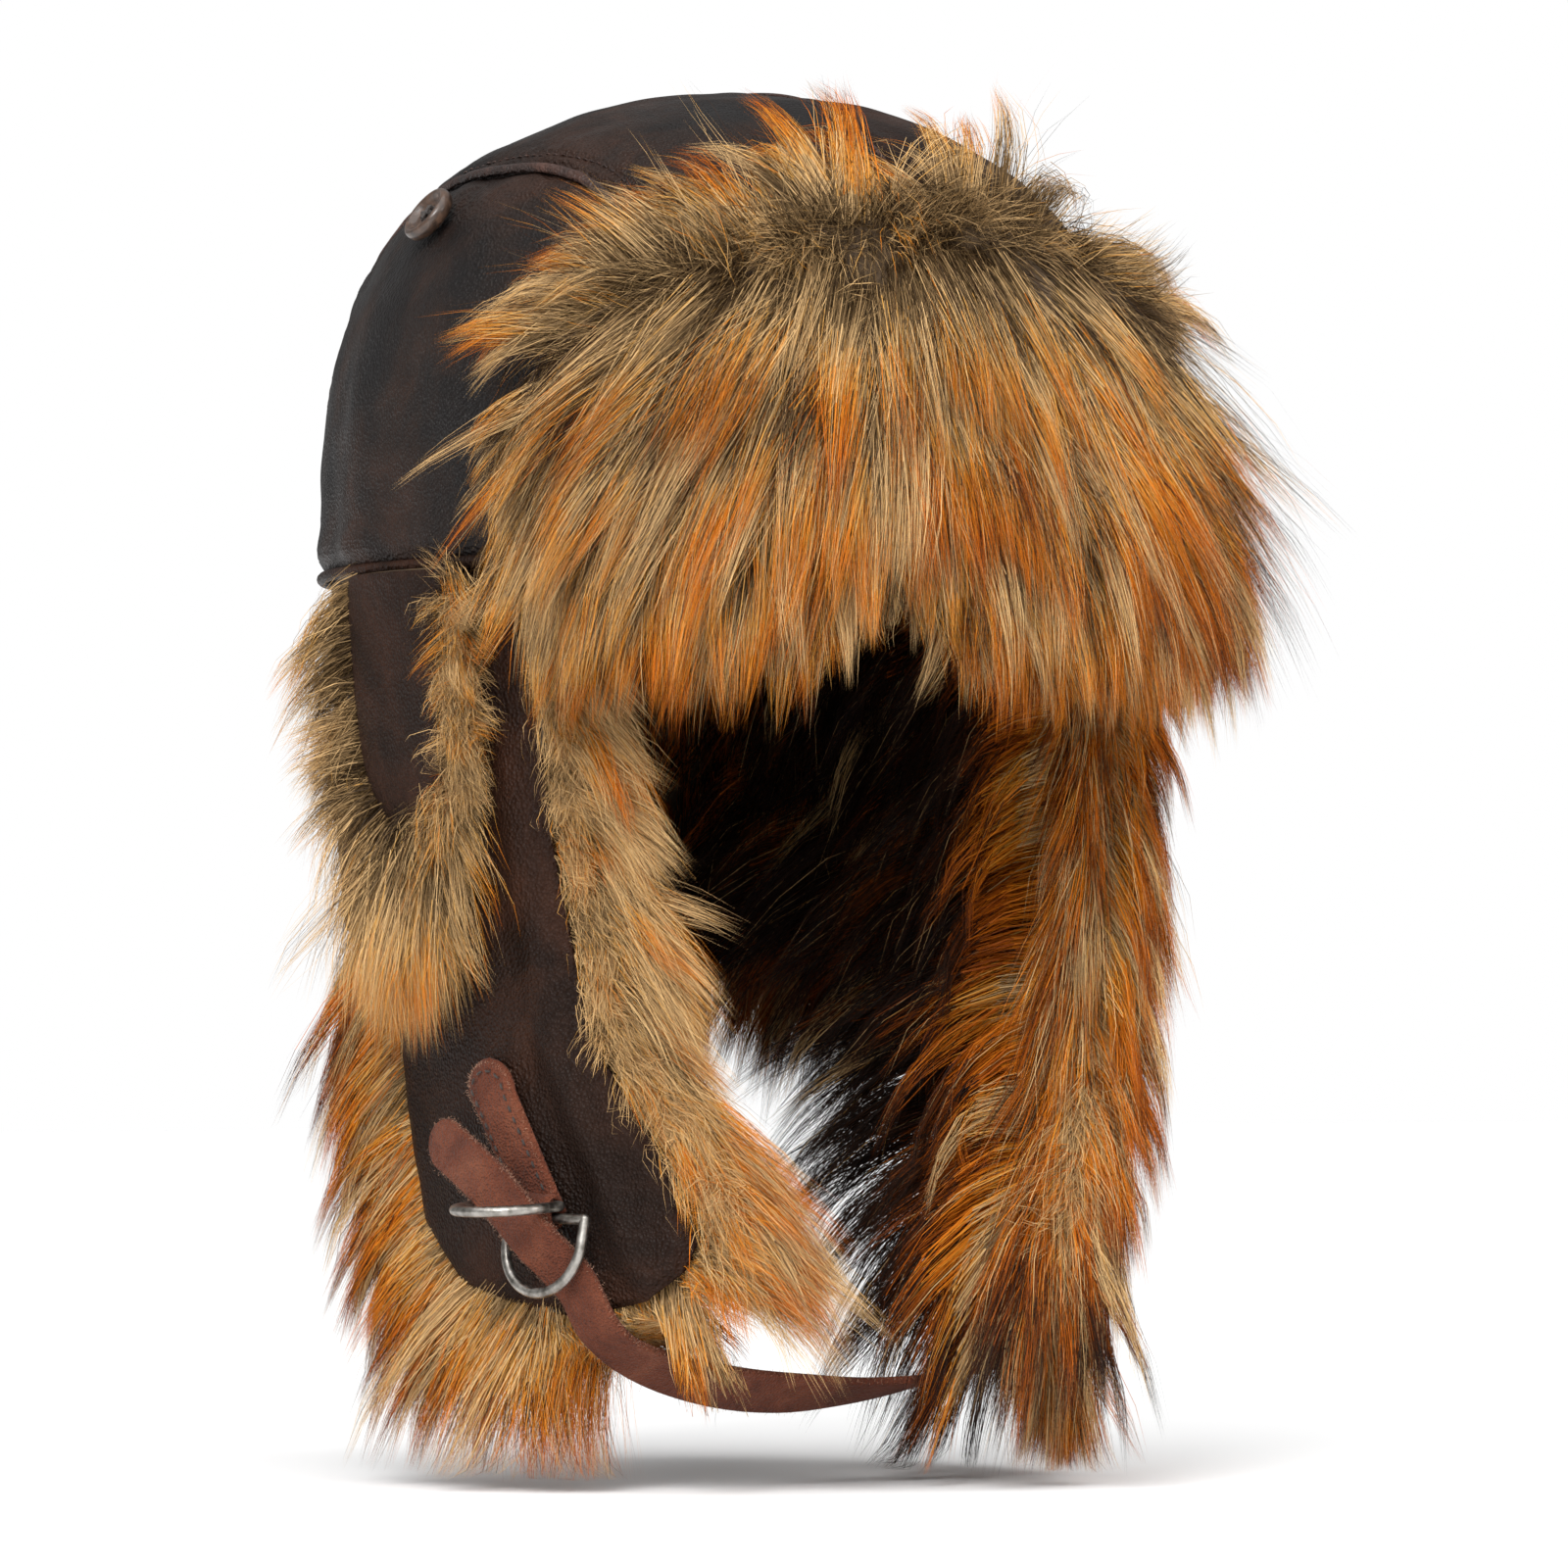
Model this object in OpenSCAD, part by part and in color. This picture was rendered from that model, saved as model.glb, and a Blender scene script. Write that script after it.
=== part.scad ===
// Trapper hat: padded leather crown, turned-up fur visor, two fur-lined ear flaps with ear
// covers, a neck flap, and a chin strap that closes through two D-rings.
// Millimetres. The wearer faces -Y, the wearer's right is -X, and the origin is the middle of
// the head opening, level with the crown's lower edge.

/* [Crown] */
// Half of the crown's length, front to back, outside
crown_half_length = 118; // [112:1:124]
// Half of the crown's width, outside
crown_half_width = 98; // [93:1:103]
// Height of the crown above its lower edge
crown_height = 119; // [112:1:126]
// Height of the arched side panel
arch_height = 97; // [92:1:100]
// Half of the arched side panel's width at the crown's lower edge
arch_half_width = 84; // [80:1:88]
// Thickness of the shell leather
leather_t = 1.4; // [1:0.1:1.8]
// Thickness of the crown's wadding
wadding_t = 6.2; // [4:0.1:6.5]
// Thickness of the quilted lining
lining_t = 2; // [1.5:0.1:2.2]

/* [Flaps] */
// Drop of the ear flaps' leather below the crown
flap_drop = 184; // [176:1:190]
// Drop of the neck flap below the crown
neck_drop = 88; // [82:1:92]
// Thickness of the fur lining in the flaps
fur_t = 17; // [12:1:18]
// Width of the small ear cover at its top
cover_width = 46; // [42:1:48]
// Length of the small ear cover
cover_drop = 66; // [60:1:68]

/* [Visor] */
// Height of the turned-up visor at the front
visor_height = 76; // [68:1:80]
// How far the visor reaches round from the front, to each side, in degrees
visor_reach = 60; // [54:1:61]
// Thickness of the visor's fur
visor_fur_t = 20; // [12:1:22]

/* [Chin strap] */
// Width of the strap
strap_w = 13; // [11:0.5:13]
// Thickness of the strap
strap_t = 2.2; // [1.8:0.1:2.2]
// Inside width of each D-ring
ring_inner_w = 22; // [22:0.5:24]
// Diameter of the D-ring wire
wire_d = 2.6; // [2.2:0.1:2.6]
// Width of the tab that holds the D-rings
tab_w = 14; // [12:0.5:16]

/* [Buttons] */
// Diameter of the crown buttons
button_d = 15; // [13:0.5:17]

/* [Hidden] */

dark_leather = "#2b211e";
tan_leather = "#7a4030";
fur_tan = "#a9834f";
felt_grey = "#5c564f";
lining_brown = "#3b2a22";
horn = "#4a3428";
silver = "#b9b4ab";
thread_black = "#15120f";

side_power = 2.15;     // how square the crown's side profile is near its edge
top_power = 3;         // how flat the crown's top is
arch_power = 2.6;      // roundness of the side panel's arch
arch_mid_y = -7;       // middle of the side panel, along the hat
arch_steps = 18;
panel_gap = 0.6;       // clearance between layers and between panels
fur_gap = 1.3;         // clearance under the fur, whose edges run past the felt's
skirt_inset = 3;       // flaps hang this far inside the crown's outer face
skirt_curl = 0.165;    // how much the flaps draw in towards the chin
skirt_curl_y = 0.03;
split_angle = 136.2;   // where each ear flap meets the neck flap
felt_t = 2.4;
cover_fur_t = 4.6;
arch_welt_r = 1;
centre_welt_r = 0.6;
binding_r = 1.5;
stitch_pitch = 7;
stitch_size = [2.8, 0.5, 0.4];

// ---- vectors ----
function unit(v) = v / norm(v);
function mix(a, b, t) = a + (b - a) * t;
function signed_pow(v, p) = sign(v) * pow(abs(v), p);

// Places its children with local x, y and z along the given unit vectors.
module in_frame(origin, x, y, z) {
    multmatrix([
        [x[0], y[0], z[0], origin[0]],
        [x[1], y[1], z[1], origin[1]],
        [x[2], y[2], z[2], origin[2]],
        [0, 0, 0, 1]
    ]) children();
}

module mirrored() {
    mirror([1, 0, 0]) children();
}

// ---- closed solids from grids of points; at(i, j, layer) gives each point ----
function quad(a, b, c, d) = [[a, c, b], [a, d, c]];
function flat_list(lists) = [for (l = lists) each l];

// An open panel: layer 0 is the outer face and layer 1 the inner one.
module panel(nu, nv, at) {
    w = nu + 1;
    layer = w * (nv + 1);
    points = [for (k = [0, 1]) for (j = [0:nv]) for (i = [0:nu]) at(i, j, k)];
    faces = flat_list([
        for (j = [0:nv - 1]) for (i = [0:nu - 1])
            quad(j * w + i, j * w + i + 1, (j + 1) * w + i + 1, (j + 1) * w + i),
        for (j = [0:nv - 1]) for (i = [0:nu - 1])
            quad(layer + j * w + i, layer + (j + 1) * w + i,
                 layer + (j + 1) * w + i + 1, layer + j * w + i + 1),
        for (i = [0:nu - 1]) quad(i, layer + i, layer + i + 1, i + 1),
        for (i = [0:nu - 1])
            quad(nv * w + i + 1, layer + nv * w + i + 1, layer + nv * w + i, nv * w + i),
        for (j = [0:nv - 1])
            quad((j + 1) * w, layer + (j + 1) * w, layer + j * w, j * w),
        for (j = [0:nv - 1])
            quad(j * w + nu, layer + j * w + nu,
                 layer + (j + 1) * w + nu, (j + 1) * w + nu)
    ]);
    polyhedron(points, faces);
}

// A ring-shaped band, closed in the i direction, with nv + 1 rows.
module band(nu, nv, at) {
    layer = nu * (nv + 1);
    points = [for (k = [0, 1]) for (j = [0:nv]) for (i = [0:nu - 1]) at(i, j, k)];
    faces = flat_list([
        for (j = [0:nv - 1]) for (i = [0:nu - 1]) let (n = (i + 1) % nu)
            quad(j * nu + i, j * nu + n, (j + 1) * nu + n, (j + 1) * nu + i),
        for (j = [0:nv - 1]) for (i = [0:nu - 1]) let (n = (i + 1) % nu)
            quad(layer + j * nu + i, layer + (j + 1) * nu + i,
                 layer + (j + 1) * nu + n, layer + j * nu + n),
        for (i = [0:nu - 1]) let (n = (i + 1) % nu) quad(i, layer + i, layer + n, n),
        for (i = [0:nu - 1]) let (n = (i + 1) % nu)
            quad(nv * nu + n, layer + nv * nu + n, layer + nv * nu + i, nv * nu + i)
    ]);
    polyhedron(points, faces);
}

// A dome, closed in the i direction, whose last row is a single apex point on each face.
module dome(nu, nv, at) {
    rows = nu * nv;
    layer = rows + 1;
    points = [
        for (k = [0, 1]) each concat(
            [for (j = [0:nv - 1]) for (i = [0:nu - 1]) at(i, j, k)], [at(0, nv, k)])
    ];
    faces = flat_list([
        for (j = [0:nv - 2]) for (i = [0:nu - 1]) let (n = (i + 1) % nu)
            quad(j * nu + i, j * nu + n, (j + 1) * nu + n, (j + 1) * nu + i),
        for (j = [0:nv - 2]) for (i = [0:nu - 1]) let (n = (i + 1) % nu)
            quad(layer + j * nu + i, layer + (j + 1) * nu + i,
                 layer + (j + 1) * nu + n, layer + j * nu + n),
        for (i = [0:nu - 1]) let (n = (i + 1) % nu, top = (nv - 1) * nu)
            [[top + i, rows, top + n]],
        for (i = [0:nu - 1]) let (n = (i + 1) % nu, top = layer + (nv - 1) * nu)
            [[top + i, top + n, layer + rows]],
        for (i = [0:nu - 1]) let (n = (i + 1) % nu) quad(i, layer + i, layer + n, n)
    ]);
    polyhedron(points, faces);
}

// A tube or flat strip: ring(i) gives the cross-section's points at step i of n.
module sweep(n, sides, ring, closed = false) {
    last = closed ? n - 1 : n;
    steps = closed ? n : n + 1;
    points = [for (i = [0:last]) each ring(i)];
    sides_faces = flat_list([
        for (i = [0:n - 1]) for (j = [0:sides - 1])
            let (a = i * sides, b = ((i + 1) % steps) * sides, m = (j + 1) % sides)
            quad(a + j, b + j, b + m, a + m)
    ]);
    caps = closed ? [] : flat_list([
        [for (j = [1:sides - 2]) [0, j + 1, j]],
        [for (j = [1:sides - 2]) [last * sides, last * sides + j, last * sides + j + 1]]
    ]);
    polyhedron(points, concat(sides_faces, caps));
}

// ---- the crown's surface ----
function crown_r(z) = pow(max(0, 1 - pow(z / crown_height, top_power)), 1 / side_power);
// Outward normal of the crown at a point on it
function crown_normal(p) =
    let (
        w = pow(p[0] / crown_half_width, 2) + pow(p[1] / crown_half_length, 2),
        k = side_power * pow(max(w, 0.0001), side_power / 2 - 1)
    )
    unit([
        k * p[0] / pow(crown_half_width, 2),
        k * p[1] / pow(crown_half_length, 2),
        top_power * pow(p[2] / crown_height, top_power - 1) / crown_height
    ]);
// The crown's right side at a place along the hat and a height
function crown_side(y, z) =
    [-crown_half_width * sqrt(max(0, pow(crown_r(z), 2) - pow(y / crown_half_length, 2))), y, z];
// Direction is counted from the front round the wearer's right side
function crown_at(angle, z) =
    [-crown_half_width * crown_r(z) * sin(angle), -crown_half_length * crown_r(z) * cos(angle), z];
function raised(p, h) = p + h * crown_normal(p);
// The arch between side panel and top panel, from the back foot (0) to the front foot (180)
function arch_yz(q, shrink = 0) = [
    arch_mid_y + (arch_half_width - shrink) * signed_pow(cos(q), 2 / arch_power),
    (arch_height - shrink) * pow(sin(q), 2 / arch_power)
];
// The line over the top of the head, from the back edge (0) to the front edge (180)
function ridge_yz(q) = [
    crown_half_length * signed_pow(cos(q), 2 / side_power),
    crown_height * pow(sin(q), 2 / top_power)
];

// ---- the flaps' surface: the crown's lower edge carried down and drawn in to the chin ----
function skirt_q(z) = pow(max(0, -z) / flap_drop, 1.7);
function skirt_at(angle, z) = [
    -(crown_half_width - skirt_inset) * (1 - skirt_curl * skirt_q(z)) * sin(angle),
    -(crown_half_length - skirt_inset) * (1 - skirt_curl_y * skirt_q(z)) * cos(angle),
    z
];
function skirt_normal(angle, z) =
    unit(cross(skirt_at(angle + 0.5, z) - skirt_at(angle - 0.5, z),
               skirt_at(angle, z - 0.5) - skirt_at(angle, z + 0.5)));
// A point off the flaps' outer face; a negative height is inside the leather
function skirt_off(angle, z, h) = skirt_at(angle, z) + h * skirt_normal(angle, z);

// ---- crown ----
module top_panel() {
    rows = 5;
    color(dark_leather) panel(arch_steps, rows, function (i, j, k)
        let (
            q = 180 * i / arch_steps,
            v = sin(90 * j / rows),
            yz = mix(arch_yz(q), ridge_yz(q), v),
            p = crown_side(yz[0], yz[1]),
            n = crown_normal(p),
            at = p - k * leather_t * n
        )
        [min(at[0], -panel_gap / 2), at[1], at[2]]);
}

module side_panel() {
    columns = 8;
    rows = 9;
    color(dark_leather) panel(columns, rows, function (i, j, k)
        let (
            q = min(88, 90 * j / rows),
            edge = arch_yz(q, panel_gap),
            y = arch_mid_y + (edge[0] - arch_mid_y) * (1 - 2 * i / columns),
            p = crown_side(y, edge[1])
        )
        p - k * leather_t * crown_normal(p));
}

// A round welt of radius r laid along a line of crown points
module welt(steps, r, line) {
    sides = 6;
    color(dark_leather) sweep(steps, sides, function (i)
        let (
            p = line(i),
            n = crown_normal(p),
            along = unit(line(min(steps, i + 1)) - line(max(0, i - 1))),
            across = cross(n, along),
            middle = p + (r + 0.2) * n
        )
        [for (s = [0:sides - 1])
            middle + r * (cos(360 * s / sides) * n + sin(360 * s / sides) * across)]);
}

module arch_welt() {
    steps = 24;
    welt(steps, arch_welt_r, function (i)
        let (yz = arch_yz(1.5 + 177 * i / steps)) crown_side(yz[0], yz[1]));
}

module centre_welt() {
    steps = 24;
    welt(steps, centre_welt_r, function (i)
        let (yz = ridge_yz(1.5 + 177 * i / steps)) [0, yz[0], yz[1]]);
}

// Stitches on the top-panel side of both arches
module crown_topstitch() {
    stitches = floor(1.45 * (arch_height + arch_half_width) / stitch_pitch);
    margin = 3.5;
    color(thread_black)
        for (side = [0, 1]) mirror([side, 0, 0])
            for (s = [1:stitches - 1])
                let (
                    q = 180 * s / stitches,
                    here = arch_yz(q, -margin),
                    next = arch_yz(q + 1, -margin),
                    p = crown_side(here[0], here[1]),
                    n = crown_normal(p),
                    ahead = crown_side(next[0], next[1]) - p,
                    along = unit(ahead - (ahead * n) * n)
                )
                in_frame(raised(p, 0.5), along, cross(n, along), n)
                    cube(stitch_size, center = true);
}

module edge_binding() {
    steps = 48;
    sides = 6;
    color(dark_leather) sweep(steps, sides, function (i)
        let (
            angle = 360 * i / steps,
            p = crown_at(angle, 0),
            n = crown_normal(p),
            middle = p - [0, 0, binding_r + 0.3] - 0.4 * n
        )
        [for (s = [0:sides - 1])
            middle + binding_r * (cos(360 * s / sides) * n - sin(360 * s / sides) * [0, 0, 1])],
        closed = true);
}

module crown_layer(depth, thickness, steps, rows) {
    dome(steps, rows, function (i, j, k)
        let (
            angle = -360 * i / steps,
            rise = 90 * j / rows,
            p = crown_at(angle, crown_height * pow(sin(rise), 2 / top_power)),
            n = j == rows ? [0, 0, 1] : crown_normal(p)
        )
        (j == rows ? [0, 0, crown_height] : p) - (depth + k * thickness) * n);
}

wadding_depth = leather_t + panel_gap;
lining_depth = wadding_depth + wadding_t + panel_gap;
band_depth = lining_depth + lining_t + panel_gap;

module crown_wadding() {
    color(felt_grey) crown_layer(wadding_depth, wadding_t, 36, 9);
}

module quilted_lining() {
    color(lining_brown) crown_layer(lining_depth, lining_t, 36, 9);
}

module sweatband() {
    steps = 36;
    height = 32;
    thickness = 1.2;
    color(tan_leather) band(steps, 1, function (i, j, k)
        let (p = crown_at(-360 * i / steps, j * height), n = crown_normal(p))
        p - (band_depth + k * thickness) * [n[0], n[1], 0]);
}

// ---- buttons ----
button_z = 84;
button_t = 4.2;
button_hole_r = 0.9;
button_hole_at = 1.9;
button_lift = 1.2;

module at_button() {
    p = crown_at(90, button_z);
    n = crown_normal(p);
    along = [0, 1, 0];
    in_frame(p + button_lift * n, along, cross(n, along), n) children();
}

module button() {
    r = button_d / 2;
    color(horn) at_button() difference() {
        rotate_extrude() polygon([
            [0, 0], [r - 1.6, 0], [r - 0.4, 0.9], [r, 2.1], [r, 3.2], [r - 0.7, button_t],
            [r - 1.8, button_t], [r - 3, 2.6], [0, 2.2]
        ]);
        for (turn = [0:90:270]) rotate(turn) translate([button_hole_at, 0, -1])
            cylinder(r = button_hole_r, h = button_t + 2);
    }
}

module button_thread() {
    thread_r = 0.55;
    top = 2.75;
    color(thread_black) at_button() {
        translate([0, 0, -button_lift + 0.15]) cylinder(r = 2.6, h = button_lift - 0.3);
        for (turn = [0:90:270]) rotate(turn) translate([button_hole_at, 0, -0.4])
            cylinder(r = thread_r, h = top + 0.4 + thread_r);
        for (turn = [0, 90]) rotate(turn) translate([-button_hole_at, 0, top + thread_r])
            rotate([0, 90, 0]) cylinder(r = thread_r, h = 2 * button_hole_at);
    }
}

// ---- visor, turned up against the front of the crown ----
visor_lift = 3;
visor_hem = 8;         // the visor's fur hangs this far below the crown's edge
function visor_top(angle) = visor_height * pow(cos(angle * 76 / visor_reach), 0.55);

module visor_layer(lift, thickness, reach, hem, rise) {
    columns = 14;
    rows = 5;
    panel(columns, rows, function (i, j, k)
        let (
            angle = reach * (1 - 2 * i / columns),
            top = visor_top(angle * visor_reach / reach) + rise,
            z = mix(-hem, top, j / rows),
            p = crown_at(angle, max(0, z)),
            n = crown_normal(p),
            height = lift + (1 - k) * thickness
        )
        p + [0, 0, min(0, z)] + height * n);
}

module visor_leather() {
    color(dark_leather) visor_layer(visor_lift, leather_t, visor_reach, 0, 0);
}

module visor_interlining() {
    color(felt_grey)
        visor_layer(visor_lift + leather_t + 0.3, felt_t, visor_reach - 1, -2, -2);
}

module visor_fur() {
    color(fur_tan) visor_layer(
        visor_lift + leather_t + felt_t + fur_gap, visor_fur_t, visor_reach, visor_hem, 4);
}

// ---- ear flaps ----
// Direction of the front edge at each depth: straight down the temple, forward under the
// cheek to the rounded corner, and back along the lower edge
front_edge = [
    [-184, 60], [-180, 49], [-173, 43], [-166, 40.7], [-151, 43.2], [-134, 49.7],
    [-117, 55.6], [-73, 59.4], [-44, 60.8], [0, 66]
];
// Direction of the rear edge: round the back at the neck flap's depth, then down the jaw
rear_edge = [
    [-184, 70], [-178, 83.8], [-163, 92.6], [-115, 95], [-100, 97], [-94, 102],
    [-91, 112], [-88.5, 136.2], [0, 136.2]
];
flap_rows = [
    -0.5, -18, -36, -54, -72, -82, -88.5, -91, -95, -105, -118, -134, -150, -163, -173, -180, -184
];

// One layer of the right ear flap; spread widens it past the leather's edges, in degrees
module flap_layer(height, thickness, spread, thin_tip = 0) {
    columns = 8;
    rows = len(flap_rows) - 1;
    panel(columns, rows, function (i, j, k)
        let (
            z = flap_rows[j],
            front = lookup(z, front_edge) - spread,
            grow = z > -89 ? 0 : spread,
            rear = lookup(z, rear_edge) + grow,
            t = thickness - thin_tip * pow(min(1, -z / flap_drop), 3)
        )
        skirt_off(mix(front, rear, i / columns), z, height - k * t));
}

module ear_flap_leather() {
    color(dark_leather) flap_layer(0, leather_t, 0);
}

module ear_flap_interlining() {
    color(felt_grey) flap_layer(-leather_t - 0.3, felt_t, -1);
}

module ear_flap_fur() {
    color(fur_tan)
        flap_layer(-leather_t - felt_t - fur_gap, fur_t, 3.5, fur_t - 8);
}

// ---- neck flap ----
module neck_layer(height, thickness, drop, inset) {
    columns = 10;
    rows = 4;
    panel(columns, rows, function (i, j, k)
        skirt_off(
            mix(split_angle + inset, 360 - split_angle - inset, i / columns),
            mix(-0.5, -drop, j / rows),
            height - k * thickness));
}

module neck_flap_leather() {
    color(dark_leather) neck_layer(0, leather_t, neck_drop, 0.4);
}

module neck_flap_interlining() {
    color(felt_grey) neck_layer(-leather_t - 0.3, felt_t, neck_drop - 2, 1);
}

module neck_flap_fur() {
    color(fur_tan)
        neck_layer(-leather_t - felt_t - panel_gap, fur_t, neck_drop + 6, 0.4);
}

// ---- ear covers: small tongues over the ears, each with a loop for the crown's button ----
cover_mid = 84;        // direction of the cover's middle at its top
cover_lean = 3;        // degrees that its tip leans forward
cover_top_z = -4;
cover_height = cover_fur_t + 0.9;

// Half width of the tongue, in degrees, at a fraction of its length: straight, then rounded
function cover_half(f) =
    let (half = cover_width / 2 / crown_half_length * 57.3, round_from = 0.6)
    f < round_from ? half * (1 - 0.1 * f)
        : half * 0.94 * sqrt(max(0, 1 - pow((f - round_from) / (1 - round_from), 2)) + 0.004);

module cover_layer(height, thickness, drop, spread) {
    columns = 8;
    rows = 9;
    panel(columns, rows, function (i, j, k)
        let (
            f = sin(90 * j / rows),
            half = cover_half(f) + spread,
            angle = cover_mid - cover_lean * f + half * (2 * i / columns - 1)
        )
        skirt_off(angle, mix(cover_top_z, -drop, f), height - k * thickness));
}

module ear_cover_leather() {
    color(dark_leather) cover_layer(cover_height + leather_t, leather_t, cover_drop, 0);
}

module ear_cover_fur() {
    color(fur_tan) cover_layer(cover_height - 0.3, cover_fur_t, cover_drop + 5, 2.5);
}

// A long loop of round cord or wire: straight legs of the given length and a round end
module hairpin(r, leg, wire_r) {
    for (side = [-1, 1]) translate([side * r, 0, 0]) rotate([90, 0, 0])
        cylinder(r = wire_r, h = leg);
    translate([0, -leg, 0]) rotate_extrude(angle = -180) translate([r, 0]) circle(r = wire_r);
}

module ear_cover_loop() {
    angle = cover_mid - cover_lean;
    top = skirt_off(angle, -cover_drop - 0.3, cover_height + leather_t / 2);
    n = skirt_normal(angle, -cover_drop);
    across = unit(cross([0, 0, 1], n));
    color(thread_black) in_frame(top, across, cross(n, across), n)
        hairpin(5, 12, 0.8);
}

// A thin elastic loop in the fur at the temple
module flap_loop() {
    angle = lookup(-44, front_edge) - 2;
    top = skirt_off(angle, -40, -1);
    n = skirt_normal(angle, -40);
    across = unit(cross([0, 0, 1], n));
    color(thread_black) in_frame(top, across, cross(n, across), n) hairpin(1.6, 6, 0.4);
}

// ---- buckle on the right flap ----
tab_angle = 64;        // direction of the tab's middle on the flap
tab_z = -141;
tab_origin = skirt_at(tab_angle, tab_z);
tab_n = skirt_normal(tab_angle, tab_z);
tab_x = unit(cross([0, 0, 1], tab_n));   // along the flap, towards the front
tab_y = cross(tab_n, tab_x);             // up the flap
tab_t = 2.4;
tab_lift = 0.5;
tab_length = 36;
tab_lean = 14;         // the tab's rounded end lies this far behind the D-rings
eye_y = -18;           // the fold that holds the rings, below the tab's middle
eye_h = 3.9;           // height of the fold's middle above the flap
bar_gap = 3.1;         // distance between the two rings' bars
eye_wall = 1.3;
eye_r = wire_d / 2 + 0.3;
ring_r = ring_inner_w / 2 + wire_d / 2;
ring_leg = 6;
ring_shift = 4;        // the rings sit off the tab's middle, each to its own side
upper_ring_tilt = 92;  // how far each ring stands off the flap, from hanging flat
lower_ring_tilt = 18;

module on_tab() {
    in_frame(tab_origin, tab_x, tab_y, tab_n) children();
}

module stadium(length, r) {
    square([length, 2 * r], center = true);
    for (side = [-1, 1]) translate([side * length / 2, 0]) circle(r = r);
}

// A strap end with one round end at the top, leaning to the rear
module tab_outline(length, width, lean) {
    r = width / 2;
    polygon(concat(
        [[-r, 0], [r, 0]],
        [for (a = [0:15:180]) [r * cos(a) - lean, length - r + r * sin(a)]]
    ));
}

module buckle_tab() {
    color(tan_leather) on_tab() {
        difference() {
            union() {
                translate([0, eye_y, tab_lift]) linear_extrude(tab_t)
                    tab_outline(tab_length, tab_w, tab_lean);
                eye_bar(tab_w, eye_r + eye_wall);
            }
            eye_bar(tab_w + 2, eye_r);
        }
    }
}

// The folded end's rounded bar, which holds both rings, or its bore
module eye_bar(width, r) {
    translate([-width / 2, eye_y, eye_h]) rotate([90, 0, 90]) linear_extrude(width)
        stadium(bar_gap, r);
}

// Stitches round the edge of a tab whose lower end is at a place on the tab's frame
module tab_stitching(at, length, lean) {
    inset = 1.9;
    r = tab_w / 2 - inset;
    high = tab_lift + tab_t + 0.25;
    color(thread_black) on_tab() {
        for (side = [-1, 1]) for (s = [0:4])
            let (f = (s + 1.6) / 7)
            translate([at[0] + side * r - lean * f, at[1] + length * f, high])
                rotate(90 + atan(lean / length)) cube(stitch_size, center = true);
        for (a = [20:35:160])
            translate([at[0] + r * cos(a) - lean, at[1] + length - tab_w / 2 + r * sin(a), high])
                rotate(a + 90) cube(stitch_size, center = true);
    }
}

// A D-ring in its own frame: the bar lies along x and the arc points down y
module d_ring() {
    color(silver) {
        hairpin(ring_r, ring_leg, wire_d / 2);
        translate([-ring_r, 0, 0]) rotate([0, 90, 0]) cylinder(r = wire_d / 2, h = 2 * ring_r);
        for (side = [-1, 1]) translate([side * ring_r, 0, 0]) sphere(r = wire_d / 2);
    }
}

module upper_d_ring() {
    on_tab() translate([-ring_shift, eye_y + bar_gap / 2, eye_h]) rotate([-upper_ring_tilt, 0, 0])
        d_ring();
}

module lower_d_ring() {
    on_tab() translate([ring_shift, eye_y - bar_gap / 2, eye_h]) rotate([-lower_ring_tilt, 0, 0])
        d_ring();
}

// ---- chin strap: through both rings, round the flap's lower edge and under the chin ----
// Points on the tab's frame: along the flap, up the flap, height above it
strap_on_flap = [
    [-26, -1.6, 6.2], [-20, -4.8, 7.3], [-13.5, -8.6, 8.5], [-8.2, -12.7, 8.8],
    [-4, -16.5, 8.8], [-0.2, -20.4, 8.8], [3.4, -25, 7.7], [7.2, -30, 5.2], [12, -36, 3.6]
];
// Points in the hat's own frame, with the direction that the strap's outer face looks
strap_under_chin = [
    [[-67, -62.5, -187.6], [-0.85, -0.4, -0.3]],
    [[-58, -60.5, -194], [-0.78, -0.5, -0.38]],
    [[-44, -57, -199], [-0.6, -0.65, -0.46]],
    [[-26, -53, -202.8], [-0.38, -0.74, -0.55]],
    [[-8, -49.5, -204.5], [-0.18, -0.7, -0.7]],
    [[10, -47.5, -204.5], [0, -0.45, -0.89]],
    [[28, -48, -202.5], [0.2, -0.2, -0.96]],
    [[45, -49.5, -198.5], [0.35, 0, -0.93]],
    [[58, -51, -194], [0.5, 0, -0.87]]
];
function tab_to_hat(p) = tab_origin + p[0] * tab_x + p[1] * tab_y + p[2] * tab_n;
strap_route = concat(
    [for (p = strap_on_flap) [tab_to_hat(p), tab_n]],
    [for (s = strap_under_chin) [s[0], unit(s[1])]]
);

module chin_strap() {
    last = len(strap_route) - 1;
    tip = 5;
    // two extra steps before the first point round off the free end
    color(tan_leather) sweep(last + 2, 4, function (i)
        let (
            at = max(0, i - 2),
            here = strap_route[at],
            along = unit(strap_route[min(last, at + 1)][0] - strap_route[max(0, at - 1)][0]),
            n = unit(here[1] - (here[1] * along) * along),
            across = cross(along, n),
            half = strap_w / 2 * [0.45, 0.85, 1][min(2, i)],
            middle = here[0] - tip * [1, 0.6, 0][min(2, i)] * along
        )
        [
            middle - half * across - strap_t / 2 * n, middle + half * across - strap_t / 2 * n,
            middle + half * across + strap_t / 2 * n, middle - half * across + strap_t / 2 * n
        ]);
}

// ---- anchor of the strap's sewn end on the left flap ----
anchor_at = [8, -43];
anchor_length = 46;
anchor_lean = 4;

module strap_anchor() {
    color(tan_leather) on_tab() translate([anchor_at[0], anchor_at[1], tab_lift])
        linear_extrude(tab_t) tab_outline(anchor_length, tab_w, anchor_lean);
}

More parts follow.
